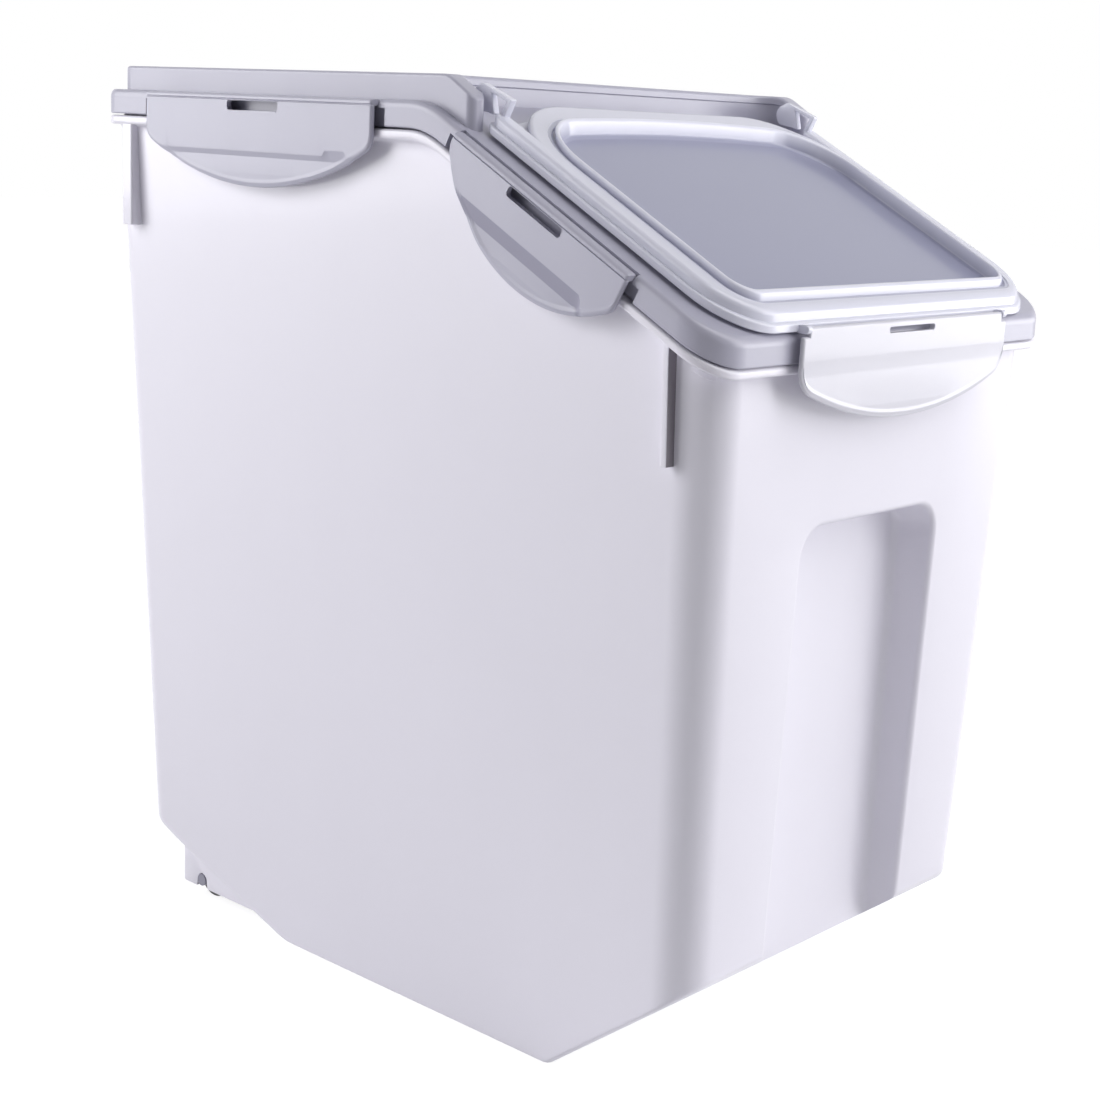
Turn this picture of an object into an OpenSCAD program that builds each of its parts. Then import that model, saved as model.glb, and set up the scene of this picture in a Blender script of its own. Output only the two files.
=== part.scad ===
// Wheeled food storage bin with a slanted snap-on lid and a flip lid over its front opening.
// X is the width, Y runs from the front (negative) to the rear, Z is up from the floor.

/* [Bin] */
// Half width of the bin at the floor
floor_half_w = 95; // [90:0.5:97]
// Growth of the half width per millimetre of height
side_draft = 0.048; // [0.03:0.001:0.05]
// Distance from the origin to the front wall at the floor
front_y = 163; // [160:0.5:165]
// Growth of the front distance per millimetre of height
front_draft = 0.0205; // [0.01:0.0005:0.022]
// Distance from the origin to the rear wall at the floor
rear_y = 162.6; // [160:0.1:163]
// Growth of the rear distance per millimetre of height
rear_draft = 0.0198; // [0.01:0.0002:0.02]
// Wall thickness of the bin
wall_t = 2.4; // [1.8:0.1:3]
// Corner radius of the front vertical edges
front_corner_r = 16; // [12:0.5:18]
// Corner radius of the rear vertical edges
rear_corner_r = 10; // [8:0.5:12]
// Front end of the flat floor
floor_front_y = -95; // [-100:0.5:-85]
// Rear end of the flat floor
floor_rear_y = 66; // [60:0.5:70]
// Height at which the front chamfer meets the front wall
chamfer_top_z = 54; // [45:0.5:60]

/* [Rim] */
// Underside height of the rim flange at the level rear
rim_z = 360.2; // [355:0.1:362]
// Thickness of the rim flange
rim_t = 3.9; // [3:0.1:4.2]
// Half width of the rim flange
rim_half_w = 116.2; // [116:0.1:116.4]
// Slope of the front half of the rim, in degrees
slope_deg = 27.7; // [26:0.1:28]
// Distance in front of the origin where the rim bends down
bend_y = 30.7; // [29:0.1:31]
// Half length of the rounded stretch of the bend
bend_soft = 12; // [8:0.5:12]

/* [Front recess] */
// Half width of the hand recess in the front wall
recess_half_w = 46.5; // [40:0.5:50]
// Top height of the hand recess
recess_top_z = 226; // [200:1:235]
// Distance from the origin to the back of the hand recess
recess_back_y = 150; // [148:0.5:155]
// Corner radius at the top of the hand recess
recess_r = 12.5; // [8:0.5:16]

/* [Wheels] */
// Radius of a wheel
wheel_r = 10; // [9:0.1:10.2]
// Place of the wheel axis along the bin
wheel_y = 129; // [127:0.5:131]
// Height of the wheel axis
wheel_z = 10.3; // [10:0.1:10.4]
// Radius of an axle
axle_r = 2.85; // [2.5:0.05:2.85]

/* [Lid frame] */
// Half width of the lid frame
frame_half_w = 116; // [115.8:0.1:116]
// Height of the skirt, from its lower edge to the ledge
frame_h = 10.4; // [10:0.1:10.6]
// Top height of the raised rear panel
panel_z = 385.3; // [384:0.1:387]
// Half width of the raised rear panel
panel_half_w = 110.5; // [110:0.1:111]
// Distance in front of the origin where the raised panel starts
panel_front_y = 29; // [28:0.5:29.5]

/* [Flip lid] */
// Half width of the flip lid at its outer lower edge
flip_half_w = 104.8; // [104:0.1:105]
// Half width of the ridge around the window
ridge_half_w = 92; // [91:0.1:92.2]
// Distance of the hinge axis in front of the origin
hinge_y = 43.5; // [43:0.1:44]
// Height of the hinge axis
hinge_z = 377.5; // [377:0.1:378]

/* [Latches] */
// How far a side latch stands out from the lid frame
latch_out = 3.2; // [3:0.1:3.4]
// Length of a rear side latch
rear_latch_l = 142; // [138:0.5:143]
// Length of a slanted side latch
slant_latch_l = 98; // [94:0.5:98]
// Length of the front latch
front_latch_l = 142; // [138:0.5:143]

/* [Hidden] */
$fn = 48;

bin_colour = [0.90, 0.89, 0.94];
grey_colour = [0.70, 0.70, 0.78];
clear_colour = [0.93, 0.93, 0.98];
seal_colour = [0.96, 0.96, 0.97];
wheel_colour = [0.25, 0.25, 0.28];
axle_colour = [0.85, 0.85, 0.87];

reach = 260;                       // half length of every cutting shape
slope_k = tan(slope_deg);
frame_z = rim_z + 4.6;             // lower edge of the lid frame at the level rear
lip_top = frame_z + 5.7;           // top of the bin's inner lip
lip_half_w = 110.6;                // outside of the inner lip
seal_z = lip_top + 0.3;            // underside of the lid gasket
ledge_under = frame_z + frame_h - 2.4;
open_half_w = 98;                  // outside of the lip around the front opening
open_lip_h = 15;                   // top of that lip above the frame's lower edge
notch_x = 113.2;                   // floor of the latch notches in the lid frame
pivot_x = 114.7;                   // latch axis, inside the notch
pivot_h = 9.1;                     // latch axis above the frame's lower edge
barrel_r = 1.15;
stud_r = 0.75;
stud_hole_r = 0.8;
latch_gap = 4;                     // free length of a notch beyond each latch end

// ---------- shared shapes ----------

// Drop of the slanted front below the level rear, at place y
function drop(y) =
    let (d = -bend_y - y)
    d < -bend_soft ? 0
    : d > bend_soft ? slope_k * d
    : slope_k * pow(d + bend_soft, 2) / (4 * bend_soft);

// Stations along Y: straight, eight steps round the bend, straight
bend_steps = 8;
rim_stations = concat(
    [reach],
    [for (i = [0:bend_steps]) -bend_y + bend_soft * (1 - 2 * i / bend_steps)],
    [-reach]
);

// Side view line that follows the rim at height z of the level rear
function rim_line(z) = [for (y = rim_stations) [y, z - drop(y)]];
function backwards(list) = [for (i = [len(list) - 1:-1:0]) list[i]];
function arc(cx, cy, r, a0, a1, n) =
    [for (i = [0:n]) let (a = a0 + (a1 - a0) * i / n) [cx + r * cos(a), cy + r * sin(a)]];

// Side view shape (Y, Z) made solid across X, from x0 to x1
module across(x0, x1) {
    translate([x0, 0, 0]) rotate([90, 0, 90]) linear_extrude(x1 - x0) children();
}

// Slab between two heights, following the rim's slope
module rim_band(z0, z1) {
    across(-reach, reach) polygon(concat(rim_line(z0), backwards(rim_line(z1))));
}

// Rounded rectangle in plan, with its own corner radius at the front and at the rear
module plan(half_w, y0, y1, r0, r1) {
    translate([-half_w, y0 + r0]) square([2 * half_w, y1 - y0 - r0 - r1]);
    translate([-half_w + r0, y0]) square([2 * (half_w - r0), r0 + 1]);
    translate([-half_w + r1, y1 - r1 - 1]) square([2 * (half_w - r1), r1 + 1]);
    for (s = [-1, 1]) {
        translate([s * (half_w - r0), y0 + r0]) circle(r0);
        translate([s * (half_w - r1), y1 - r1]) circle(r1);
    }
}

// Plan shape made solid over the full height and cut to a slab that follows the slope
module slab(z0, z1) {
    intersection() {
        translate([0, 0, 150]) linear_extrude(300) children();
        rim_band(z0, z1);
    }
}

module both_sides() {
    children();
    mirror([1, 0, 0]) children();
}

// ---------- bin ----------

chamfer_foot = floor_front_y;
chamfer_run = front_y + front_draft * chamfer_top_z + floor_front_y;
chamfer_k = chamfer_top_z / chamfer_run;
ramp_y = 143;                      // where the rear ramp steepens
ramp_z = 26.7;
ramp_k = ramp_z / (ramp_y - floor_rear_y);
heel_r = 12;                       // round heel between ramp and rear wall
heel_y = 151.5;
heel_z = 43.7;

// Side view of the bin, set in by t on its lower faces
function bin_side(t) = concat(
    [
        [chamfer_foot + t * tan(atan(chamfer_k) / 2), t],
        [floor_rear_y - t * tan(atan(ramp_k) / 2), t],
        [ramp_y - t * sin(21.5), ramp_z + t * cos(21.5)]
    ],
    arc(heel_y, heel_z, heel_r - t, -63, -8, 6),
    [
        [rear_y + 14, heel_z + 20],
        [rear_y + 14, reach + 150],
        [-reach, reach + 150],
        [-reach, chamfer_k * (chamfer_foot + reach) + t * sqrt(1 + chamfer_k * chamfer_k)]
    ]
);

module bin_plan(z, t) {
    plan(
        floor_half_w + side_draft * z - t, -front_y - front_draft * z + t, rear_y + rear_draft * z - t,
        front_corner_r - t, rear_corner_r - t
    );
}

// Drafted bin, set in by t, open upwards
module bin_solid(t) {
    intersection() {
        hull() {
            linear_extrude(0.1, $fn = 32) bin_plan(0, t);
            translate([0, 0, 380]) linear_extrude(0.1, $fn = 32) bin_plan(380, t);
        }
        across(-reach, reach) polygon(bin_side(t));
    }
}

// Hand recess, grown by g to give the wall behind it
module recess(g) {
    half_w = recess_half_w + g;
    top = recess_top_z + g;
    r = recess_r + g;
    translate([0, -recess_back_y + g, 0]) rotate([90, 0, 0]) linear_extrude(60) {
        translate([-half_w, -20]) square([2 * half_w, top + 20 - r]);
        translate([-half_w + r, 0]) square([2 * (half_w - r), top]);
        for (s = [-1, 1]) translate([s * (half_w - r), top - r]) circle(r);
    }
}

bracket_z = 6.4;
bracket_rear_y = 142.5;
bracket_t = 2.4;
bracket_out = 92;                  // outer face of the outer plate
bracket_in = 68;                   // inner face of the inner plate

module bracket_plate(x0) {
    front = floor_rear_y + bracket_z / ramp_k;
    difference() {
        across(x0, x0 + bracket_t) polygon([
            [front, bracket_z], [bracket_rear_y, bracket_z],
            [bracket_rear_y, ramp_z + 1], [front, bracket_z + 1]
        ]);
        translate([x0 - 1, wheel_y, wheel_z]) rotate([0, 90, 0]) cylinder(h = bracket_t + 2, r = axle_r + 0.03);
        translate([x0 - 1, wheel_y - axle_r + 0.3, 0]) cube([bracket_t + 2, 2 * axle_r - 0.6, wheel_z]);
    }
}

module front_rib() {
    y = -151.4;
    wall_top = floor_half_w + side_draft * 293;
    translate([0, y + 2.5, 0]) rotate([90, 0, 0]) linear_extrude(2.5) polygon([
        [wall_top - 4, 253.5], [wall_top + 1.2, 253.5], [wall_top + 6, 285],
        [wall_top + 6, 298.5], [wall_top - 4, 298.5]
    ]);
}

module rear_rib() {
    translate([108.5, 151.7, 317]) cube([7, 6.9, 44]);
}

module bin_body() {
    color(bin_colour) difference() {
        union() {
            difference() {
                intersection() {
                    bin_solid(0);
                    rim_band(-50, rim_z + rim_t);
                }
                recess(0);
            }
            slab(rim_z, rim_z + rim_t) plan(rim_half_w, -173.1, 172.7, 15.7, 10);
            slab(rim_z + 1, lip_top) plan(lip_half_w, -168.2, 167.4, 11, 6);
            both_sides() {
                front_rib();
                rear_rib();
                bracket_plate(bracket_out - bracket_t);
                bracket_plate(bracket_in);
            }
        }
        difference() {
            intersection() {
                bin_solid(wall_t);
                rim_band(-50, rim_z + rim_t);
            }
            recess(wall_t);
        }
        slab(rim_z - 6, lip_top + 2) plan(lip_half_w - 2.4, -165.8, 165, 9, 4);
    }
}

// ---------- wheels ----------

wheel_x0 = 73;
wheel_w = 12;

module wheel() {
    color(wheel_colour) difference() {
        union() {
            translate([wheel_x0, wheel_y, wheel_z]) rotate([0, 90, 0]) cylinder(h = wheel_w, r = wheel_r);
            translate([wheel_x0 - 2, wheel_y, wheel_z]) rotate([0, 90, 0]) cylinder(h = wheel_w + 6, r = 4.6);
        }
        translate([wheel_x0 - 5, wheel_y, wheel_z]) rotate([0, 90, 0]) cylinder(h = wheel_w + 12, r = axle_r + 0.07);
        for (x = [wheel_x0 - 1, wheel_x0 + wheel_w - 2]) {
            translate([x, wheel_y, wheel_z]) rotate([0, 90, 0]) difference() {
                cylinder(h = 3, r = wheel_r - 2);
                cylinder(h = 3, r = 4.6);
            }
        }
    }
}

module axle() {
    color(axle_colour) {
        translate([bracket_in - 0.6, wheel_y, wheel_z]) rotate([0, 90, 0]) {
            cylinder(h = bracket_out - bracket_in + 1, r = axle_r);
        }
    }
}

// ---------- lid frame ----------

module frame_plan(inset) {
    plan(frame_half_w - inset, -173.8 + inset, 172.7 - inset, 17 - inset, 10 - inset);
}

module opening_plan(inset) {
    plan(open_half_w - inset, -170.6 + inset, -52.5 - inset, 17 - inset, 40 - inset);
}

// Raised rear panel with a horn running forward on each side
module panel_plan(inset) {
    difference() {
        plan(panel_half_w - inset, -50.6 + inset, 167.5 - inset, 2.5, 9 - inset);
        plan(102.4 + inset, -120, -panel_front_y + inset, 2, 13);
    }
}

module frame_panel(inset, z0) {
    intersection() {
        translate([0, 0, z0]) linear_extrude(panel_z - inset - z0) panel_plan(inset);
        across(-reach, reach) polygon([
            [reach, 0], [reach, panel_z], [-37, panel_z],
            [-50.6, 377.2], [-60, 372], [-60, 0]
        ]);
    }
}

// Notch that houses a latch, in a frame where u runs along the latch and v is up
module notch(l) {
    translate([notch_x, -l / 2 - 0.3, pivot_h - 2.2]) cube([9, l + 0.6, 12]);
    translate([notch_x, -l / 2 - latch_gap, -9]) cube([9, l + 2 * latch_gap, pivot_h + 7.2]);
    translate([pivot_x, -l / 2 - 3, pivot_h]) rotate([-90, 0, 0]) cylinder(h = l + 6, r = stud_hole_r);
}

rear_latch_y = 65.6;               // centre of a rear latch
slant_mid = 17.3 + slant_latch_l / 2;  // centre of a slanted latch down the slope, from the bend
slant_sink = frame_h * (1 - cos(slope_deg));  // the skirt is lower when measured across the slope

module at_rear_latch() {
    translate([0, rear_latch_y, frame_z]) children();
}

// Frame whose Y axis runs up the slope and whose origin lies on the frame's lower edge
module at_slant_latch() {
    translate([0, -bend_y, frame_z]) rotate([slope_deg, 0, 0]) {
        translate([0, -slant_mid, -slant_sink]) children();
    }
}

module lid_frame() {
    color(grey_colour) difference() {
        union() {
            slab(frame_z, frame_z + frame_h) frame_plan(0);
            slab(frame_z + 8, frame_z + open_lip_h) opening_plan(0);
            frame_panel(0, 352);
        }
        slab(frame_z - 30, ledge_under) frame_plan(4.6);
        intersection() {
            translate([0, 0, 340]) linear_extrude(panel_z - 2.4 - 340) {
                plan(panel_half_w - 2.4, -panel_front_y + 2.4, 165.1, 12, 6.6);
            }
            rim_band(frame_z - 30, panel_z + 40);
        }
        slab(frame_z - 30, frame_z + 40) opening_plan(2);
        both_sides() {
            at_rear_latch() notch(rear_latch_l);
            at_slant_latch() notch(slant_latch_l);
            translate([101, -hinge_y, hinge_z]) rotate([0, 90, 0]) cylinder(h = 6, r = 2.25);
        }
    }
}

module lid_gasket() {
    color(seal_colour) slab(seal_z, ledge_under) difference() {
        plan(lip_half_w, -168.2, 167.4, 11, 6);
        plan(lip_half_w - 2.4, -165.8, 165, 9, 4);
    }
}

// ---------- side latches ----------

// Latch outline (along, up): straight top and ends, lower edge an arc of radius r
module latch_outline(l, top, bottom, r, shift, corner) {
    intersection() {
        offset(r = corner, $fn = 32) offset(delta = -corner) intersection() {
            translate([-l / 2, bottom - 1]) square([l, top - bottom + 20]);
            translate([shift, bottom + r]) circle(r, $fn = 120);
        }
        translate([-l / 2, bottom]) square([l, top - bottom]);
    }
}

side_out = frame_half_w + latch_out;   // outer face of a closed side latch
side_in = side_out - 2.3;

// Section (outward, up) of a side latch: pivot arm, flat plate, step, flared lip
module side_section(step0, step1, bottom) {
    polygon([
        [pivot_x, pivot_h + barrel_r], [side_out - 1, pivot_h + barrel_r], [side_out, pivot_h],
        [side_out, step0], [side_out - 1.2, step1], [side_out + 0.1, bottom], [side_out - 1.3, bottom],
        [side_in - 0.4, step1], [side_in, step0 - 0.4], [side_in, pivot_h - barrel_r],
        [pivot_x, pivot_h - barrel_r]
    ]);
}

module side_latch(l, bottom, r, shift, corner, step0, step1, slot_l, slot0, slot1) {
    arm_l = l - 1;
    difference() {
        union() {
            intersection() {
                across(110, 125) latch_outline(l, pivot_h - barrel_r, bottom, r, shift, corner);
                rotate([90, 0, 0]) translate([0, 0, -l]) linear_extrude(2 * l) {
                    side_section(step0, step1, bottom);
                }
            }
            intersection() {
                across(110, 125) translate([-arm_l / 2, pivot_h - 1.5]) square([arm_l, 4]);
                rotate([90, 0, 0]) translate([0, 0, -l]) linear_extrude(2 * l) {
                    side_section(step0, step1, bottom);
                }
            }
            translate([pivot_x, -arm_l / 2, pivot_h]) rotate([-90, 0, 0]) cylinder(h = arm_l, r = barrel_r);
            translate([pivot_x, -l / 2 - 2.4, pivot_h]) rotate([-90, 0, 0]) cylinder(h = l + 4.8, r = stud_r);
        }
        translate([side_in - 1, -slot_l / 2, slot0]) cube([6, slot_l, slot1 - slot0]);
    }
}

module rear_latch() {
    color(grey_colour) at_rear_latch() {
        side_latch(rear_latch_l, -26.8, 148, 0, 6, -12.8, -14.8, 32, 3.7, 7.9);
    }
}

module slant_latch() {
    color(grey_colour) at_slant_latch() {
        side_latch(slant_latch_l, -24.4, 64, -3.6, 5, -8.3, -14.4, 29, 4.2, 7.9);
    }
}

// ---------- flip lid ----------

flip_front_y = -174.2;
flip_h0 = 11.6;                    // lower edge of the flip lid's skirt
deck_h = 19.5;                     // top of its deck
pocket_h = 15;                     // floor of the pockets at its rear corners
deck_t = 2;
deck_rear_y = -48;                 // rear edge of the deck, in front of the hinge axis
deck_rear_r = 46;
deck_wall = 1.8;                   // wall of the deck and of the ridge
ridge_h = 21.7;                    // top of the ridge around the window
window_h = 14.9;                   // top of the sunken window
seal_top_h = deck_h - deck_t;
front_axis_y = -176.9;             // axis of the front latch
front_axis_z = 302.2;
lug_x = 66.6;                      // inner face of a front latch lug
lug_reach = 3.7;                   // from the front latch's axis back into the lid's flange

module flip_plan(inset) {
    plan(flip_half_w - inset, flip_front_y + inset, -52 - inset, 22.5 - inset, 4);
}

// The deck's rear corners are cut back in wide arcs, which leaves a low pocket beside each ear
module deck_plan(inset) {
    plan(
        flip_half_w - 1.6 - inset, flip_front_y + 1.2 + inset, deck_rear_y - inset,
        22 - inset, deck_rear_r - inset
    );
}

module window_plan(inset) {
    plan(ridge_half_w - inset, -166.6 + inset, -60 - inset, 10 - inset, 28 - inset);
}

// Slab at a height above the frame's lower edge
module lid_slab(h0, h1) {
    slab(frame_z + h0, frame_z + h1) children();
}

// Plan in which the flip lid's lower parts stop short of the opening's lip and seal
module lip_clearance() {
    opening_plan(-0.6);
}

// Arm that carries an ear, along the side of the pocket
module ear_arm() {
    translate([95.8, -92]) square([flip_half_w - 1.6 - 95.8, 38]);
}

// Hinge ear in side view, from the deck up to the hinge axis
module ear() {
    deck_z = frame_z + deck_h - 1 - drop(-62);
    across(95.8, 99.8) {
        translate([-hinge_y, hinge_z]) circle(4.8);
        polygon([
            [-62, deck_z], [-60.3, 376.7], [-hinge_y - 3.4, hinge_z + 3.4], [-hinge_y, hinge_z - 4.8],
            [-50, frame_z + deck_h - 1 - drop(-50)]
        ]);
    }
    translate([99.7, -hinge_y, hinge_z]) rotate([0, 90, 0]) cylinder(h = 6, r = 2.2);
}

module front_lug() {
    across(lug_x, lug_x + 3) {
        translate([front_axis_y, front_axis_z]) circle(1.7);
        translate([front_axis_y, front_axis_z - 1.2]) square([lug_reach, 2.9]);
    }
}

module flip_lid() {
    color(clear_colour, 0.6) difference() {
        union() {
            lid_slab(flip_h0, 15) difference() {
                flip_plan(0);
                flip_plan(3);
                lip_clearance();
            }
            lid_slab(14.5, deck_h) difference() {
                deck_plan(0);
                deck_plan(deck_wall);
                lip_clearance();
            }
            lid_slab(seal_top_h, deck_h) deck_plan(0);
            lid_slab(pocket_h - 1.8, pocket_h) difference() {
                flip_plan(0);
                deck_plan(2);
                lip_clearance();
                translate([-110, -200]) square([220, 100]);
            }
            lid_slab(window_h - deck_t, ridge_h) window_plan(0);
            both_sides() {
                lid_slab(pocket_h - 1.8, deck_h) difference() {
                    ear_arm();
                    lip_clearance();
                }
                ear();
                front_lug();
            }
        }
        lid_slab(window_h, ridge_h + 5) window_plan(deck_wall);
        both_sides() translate([lug_x - 1, front_axis_y, front_axis_z]) rotate([0, 90, 0]) {
            cylinder(h = 6, r = stud_hole_r);
        }
    }
}

module flip_lid_gasket() {
    color(seal_colour) lid_slab(open_lip_h + 0.3, seal_top_h) difference() {
        opening_plan(-0.3);
        opening_plan(2.4);
    }
}

module front_latch() {
    plate_in = -1;
    plate_out = 1.1;
    bottom = -35.7;
    color(clear_colour, 0.6) translate([0, front_axis_y, front_axis_z]) rotate([0, 0, -90]) difference() {
        union() {
            intersection() {
                across(-5, 5) latch_outline(front_latch_l, 0, bottom, 185, 0, 10);
                rotate([90, 0, 0]) translate([0, 0, -100]) linear_extrude(200) polygon([
                    [plate_in, 0], [plate_out, 0], [plate_out, -11.7], [plate_out - 0.7, -16.7],
                    [plate_out + 0.5, bottom], [plate_out - 1, bottom], [plate_in, -16.7]
                ]);
            }
            translate([0, -lug_x + 0.4, 0]) rotate([-90, 0, 0]) cylinder(h = 2 * lug_x - 0.8, r = plate_out);
            translate([0, -lug_x - 2.6, 0]) rotate([-90, 0, 0]) cylinder(h = 2 * lug_x + 5.2, r = stud_r);
        }
        translate([-5, -16, -3.6]) cube([10, 32, 2.4]);
        for (y = [-80, lug_x - 0.4]) difference() {
            translate([-5, y, -2.4]) cube([10, 80 - lug_x + 0.4, 5]);
            translate([0, -80, 0]) rotate([-90, 0, 0]) cylinder(h = 160, r = stud_r);
        }
    }
}

bin_body();
lid_frame();
lid_gasket();
mirror([1, 0, 0]) wheel();  // wheel_left
wheel();  // wheel_right
mirror([1, 0, 0]) axle();  // axle_left
axle();  // axle_right
mirror([1, 0, 0]) rear_latch();  // rear_latch_left
rear_latch();  // rear_latch_right
mirror([1, 0, 0]) slant_latch();  // slant_latch_left
slant_latch();  // slant_latch_right
flip_lid();
flip_lid_gasket();
front_latch();
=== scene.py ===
"""Visible pieces of a wheeled food bin with a slanted lid frame and a flip lid.

Lengths are in millimetres until a mesh is made. X is the width, -Y is the front, Z is up.
"""
import logging
import math
from dataclasses import dataclass, field
from enum import Enum
from typing import Callable, Optional, Sequence

import bmesh
import bpy
import numpy as np
from mathutils import Matrix, Vector
from mathutils.geometry import delaunay_2d_cdt


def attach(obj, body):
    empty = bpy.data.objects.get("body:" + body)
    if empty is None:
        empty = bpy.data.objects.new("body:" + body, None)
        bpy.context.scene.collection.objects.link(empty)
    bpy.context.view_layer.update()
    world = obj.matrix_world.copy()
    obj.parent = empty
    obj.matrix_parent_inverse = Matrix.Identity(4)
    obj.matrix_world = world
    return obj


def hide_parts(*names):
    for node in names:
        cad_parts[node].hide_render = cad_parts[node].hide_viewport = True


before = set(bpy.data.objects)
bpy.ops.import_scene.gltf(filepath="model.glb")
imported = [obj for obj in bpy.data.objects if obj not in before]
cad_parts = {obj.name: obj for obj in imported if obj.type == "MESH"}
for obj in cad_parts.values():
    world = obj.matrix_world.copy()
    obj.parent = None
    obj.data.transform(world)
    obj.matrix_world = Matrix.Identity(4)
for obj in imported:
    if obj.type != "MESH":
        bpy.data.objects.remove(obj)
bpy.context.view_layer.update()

log = logging.getLogger("food_bin")

Array = np.ndarray
Place = Callable[[Array, Array, Array], Array]

MM = 0.001
SEAM_M = 4e-6  # points of a mesh that lie closer than this are one point
TINY = 1e-6  # lengths and turns below this count as none
SHARPEST = 0.3  # least cosine of half a sharp corner's turn that its point is pushed out for
# The tone attribute holds the share of painted shade and of satin roughness at each point.
TONE = "tone"  # name of the attribute that a mesh's painted places are kept in


# ---------------------------------------------------------------- lines and surfaces


@dataclass(frozen=True)
class Line:
    """A line in a plane with the outward direction at each of its points.

    Attributes:
        points: (n, 2) places.
        normals: (n, 2) unit directions.
    """

    points: Array
    normals: Array

    def moved(self, distance: float) -> Array:
        """Points pushed along their outward directions by a distance."""
        return self.points + self.normals * distance


@dataclass(frozen=True)
class Patch:
    """Part of a mesh: places and the faces that join them.

    Attributes:
        points: (n, 3) places in millimetres.
        faces: (m, 3) or (m, 4) indices.
    """

    points: Array
    faces: Array

    def mapped(self, change: Callable[[Array], Array]) -> "Patch":
        """The same faces over changed places."""
        return Patch(change(self.points), self.faces)

    def mirrored(self) -> "Patch":
        """The patch on the other side of the plane X = 0."""
        return Patch(self.points * np.array([-1.0, 1.0, 1.0]), self.faces[:, ::-1])


def unit(v: Array) -> Array:
    """Vectors along the last axis, scaled to length one."""
    return v / np.maximum(np.linalg.norm(v, axis=-1, keepdims=True), 1e-12)


def corner_line(corners: Sequence[tuple], closed: bool, steps: int, guard: float,
                marks: Sequence[tuple] = ()) -> Line:
    """Straight edges joined by round corners, with extra points beside each corner.

    An arc of radius r starts r tan(a / 2) before a corner that turns by a, and its points are
    centre + r (cos t, sin t). The extra points keep flat faces flat beside an arc where shading is smooth.

    Args:
        corners: (x, y, radius) in order, anticlockwise where the line is closed.
        closed: Whether the last corner joins the first.
        steps: Faces in each arc.
        guard: Distance of the extra points from the arcs.
        marks: (axis, value) places where a straight edge gets a point as well.

    Returns:
        The line, whose normals point to the right of its direction.
    """
    place = np.array([c[:2] for c in corners], float)
    count = len(corners)
    if closed:
        before, after = unit(place - np.roll(place, 1, 0)), unit(np.roll(place, -1, 0) - place)
    else:
        edges = unit(np.diff(place, axis=0))
        before, after = np.vstack([edges[:1], edges]), np.vstack([edges, edges[-1:]])
    arcs = []
    for i, corner in enumerate(corners):
        turn = math.atan2(
            before[i, 0] * after[i, 1] - before[i, 1] * after[i, 0], float(before[i] @ after[i])
        )
        radius = corner[2]
        normal = np.array([before[i, 1], -before[i, 0]])
        if radius <= 0 or abs(turn) < TINY:
            both = unit(normal + np.array([after[i, 1], -after[i, 0]]))
            grow = 1 / max(SHARPEST, float(both @ normal))
            arcs.append((place[i][None], (both * grow)[None]))
            continue
        side = math.copysign(1.0, turn)
        start = place[i] - before[i] * radius * math.tan(abs(turn) / 2)
        angle = math.atan2(normal[1], normal[0]) + turn * np.linspace(0, 1, steps + 1)
        around = np.stack([np.cos(angle), np.sin(angle)], 1)
        arcs.append((start - side * radius * normal + side * radius * around, around))
    points, normals = [], []
    for i in range(count):
        points.append(arcs[i][0])
        normals.append(arcs[i][1])
        if not closed and i == count - 1:
            break
        a, b = arcs[i][0][-1], arcs[(i + 1) % count][0][0]
        length = float(np.linalg.norm(b - a))
        if length < TINY:
            continue
        along = (b - a) / length
        ends = [d for d, k in ((guard, i), (length - guard, (i + 1) % count)) if corners[k][2] > 0]
        at = ends if length > 2.5 * guard else []
        for axis, value in marks:
            if abs(along[axis]) > 0.5:
                t = (value - a[axis]) / along[axis]
                if guard + 0.2 < t < length - guard - 0.2:
                    at.append(t)
        at = np.array(sorted(at))
        if len(at):
            points.append(a + along * at[:, None])
            normals.append(np.repeat([[along[1], -along[0]]], len(at), 0))
    return Line(np.vstack(points), np.vstack(normals))


def plan_line(half_w: float, front: float, rear: float, r_front: float, r_rear: float,
              marks: Sequence[tuple] = (), steps: int = 10) -> Line:
    """Rounded rectangle seen from above, starting at its front right corner.

    Args:
        half_w: Half its width.
        front: Place of its front edge along Y.
        rear: Place of its rear edge along Y.
        r_front: Radius of the front corners.
        r_rear: Radius of the rear corners.
        marks: (axis, value) places where a straight edge gets a point as well.
        steps: Faces in each corner.

    Returns:
        The line, anticlockwise.
    """
    corners = [(half_w, front, r_front), (half_w, rear, r_rear), (-half_w, rear, r_rear),
               (-half_w, front, r_front)]
    return corner_line(corners, True, steps, 0.6, marks)


def profile(*corners: tuple, steps: int = 5, guard: float = 0.2) -> Array:
    """Section line through (offset, height, radius) corners, as (n, 2) places."""
    return corner_line(corners, False, steps, guard).points


def sweep(line: Line, section: Array, place: Place) -> Array:
    """A section carried along a line: place(point + offset * normal, height).

    Args:
        line: The line seen in its plane.
        section: (rows, 2) offsets and heights.
        place: Turns plane places and heights into places in space.

    Returns:
        (rows, points, 3) grid.
    """
    flat = line.points[None] + line.normals[None] * section[:, None, :1]
    height = np.broadcast_to(section[:, 1:], flat.shape[:2])
    return place(flat[..., 0], flat[..., 1], height)


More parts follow.
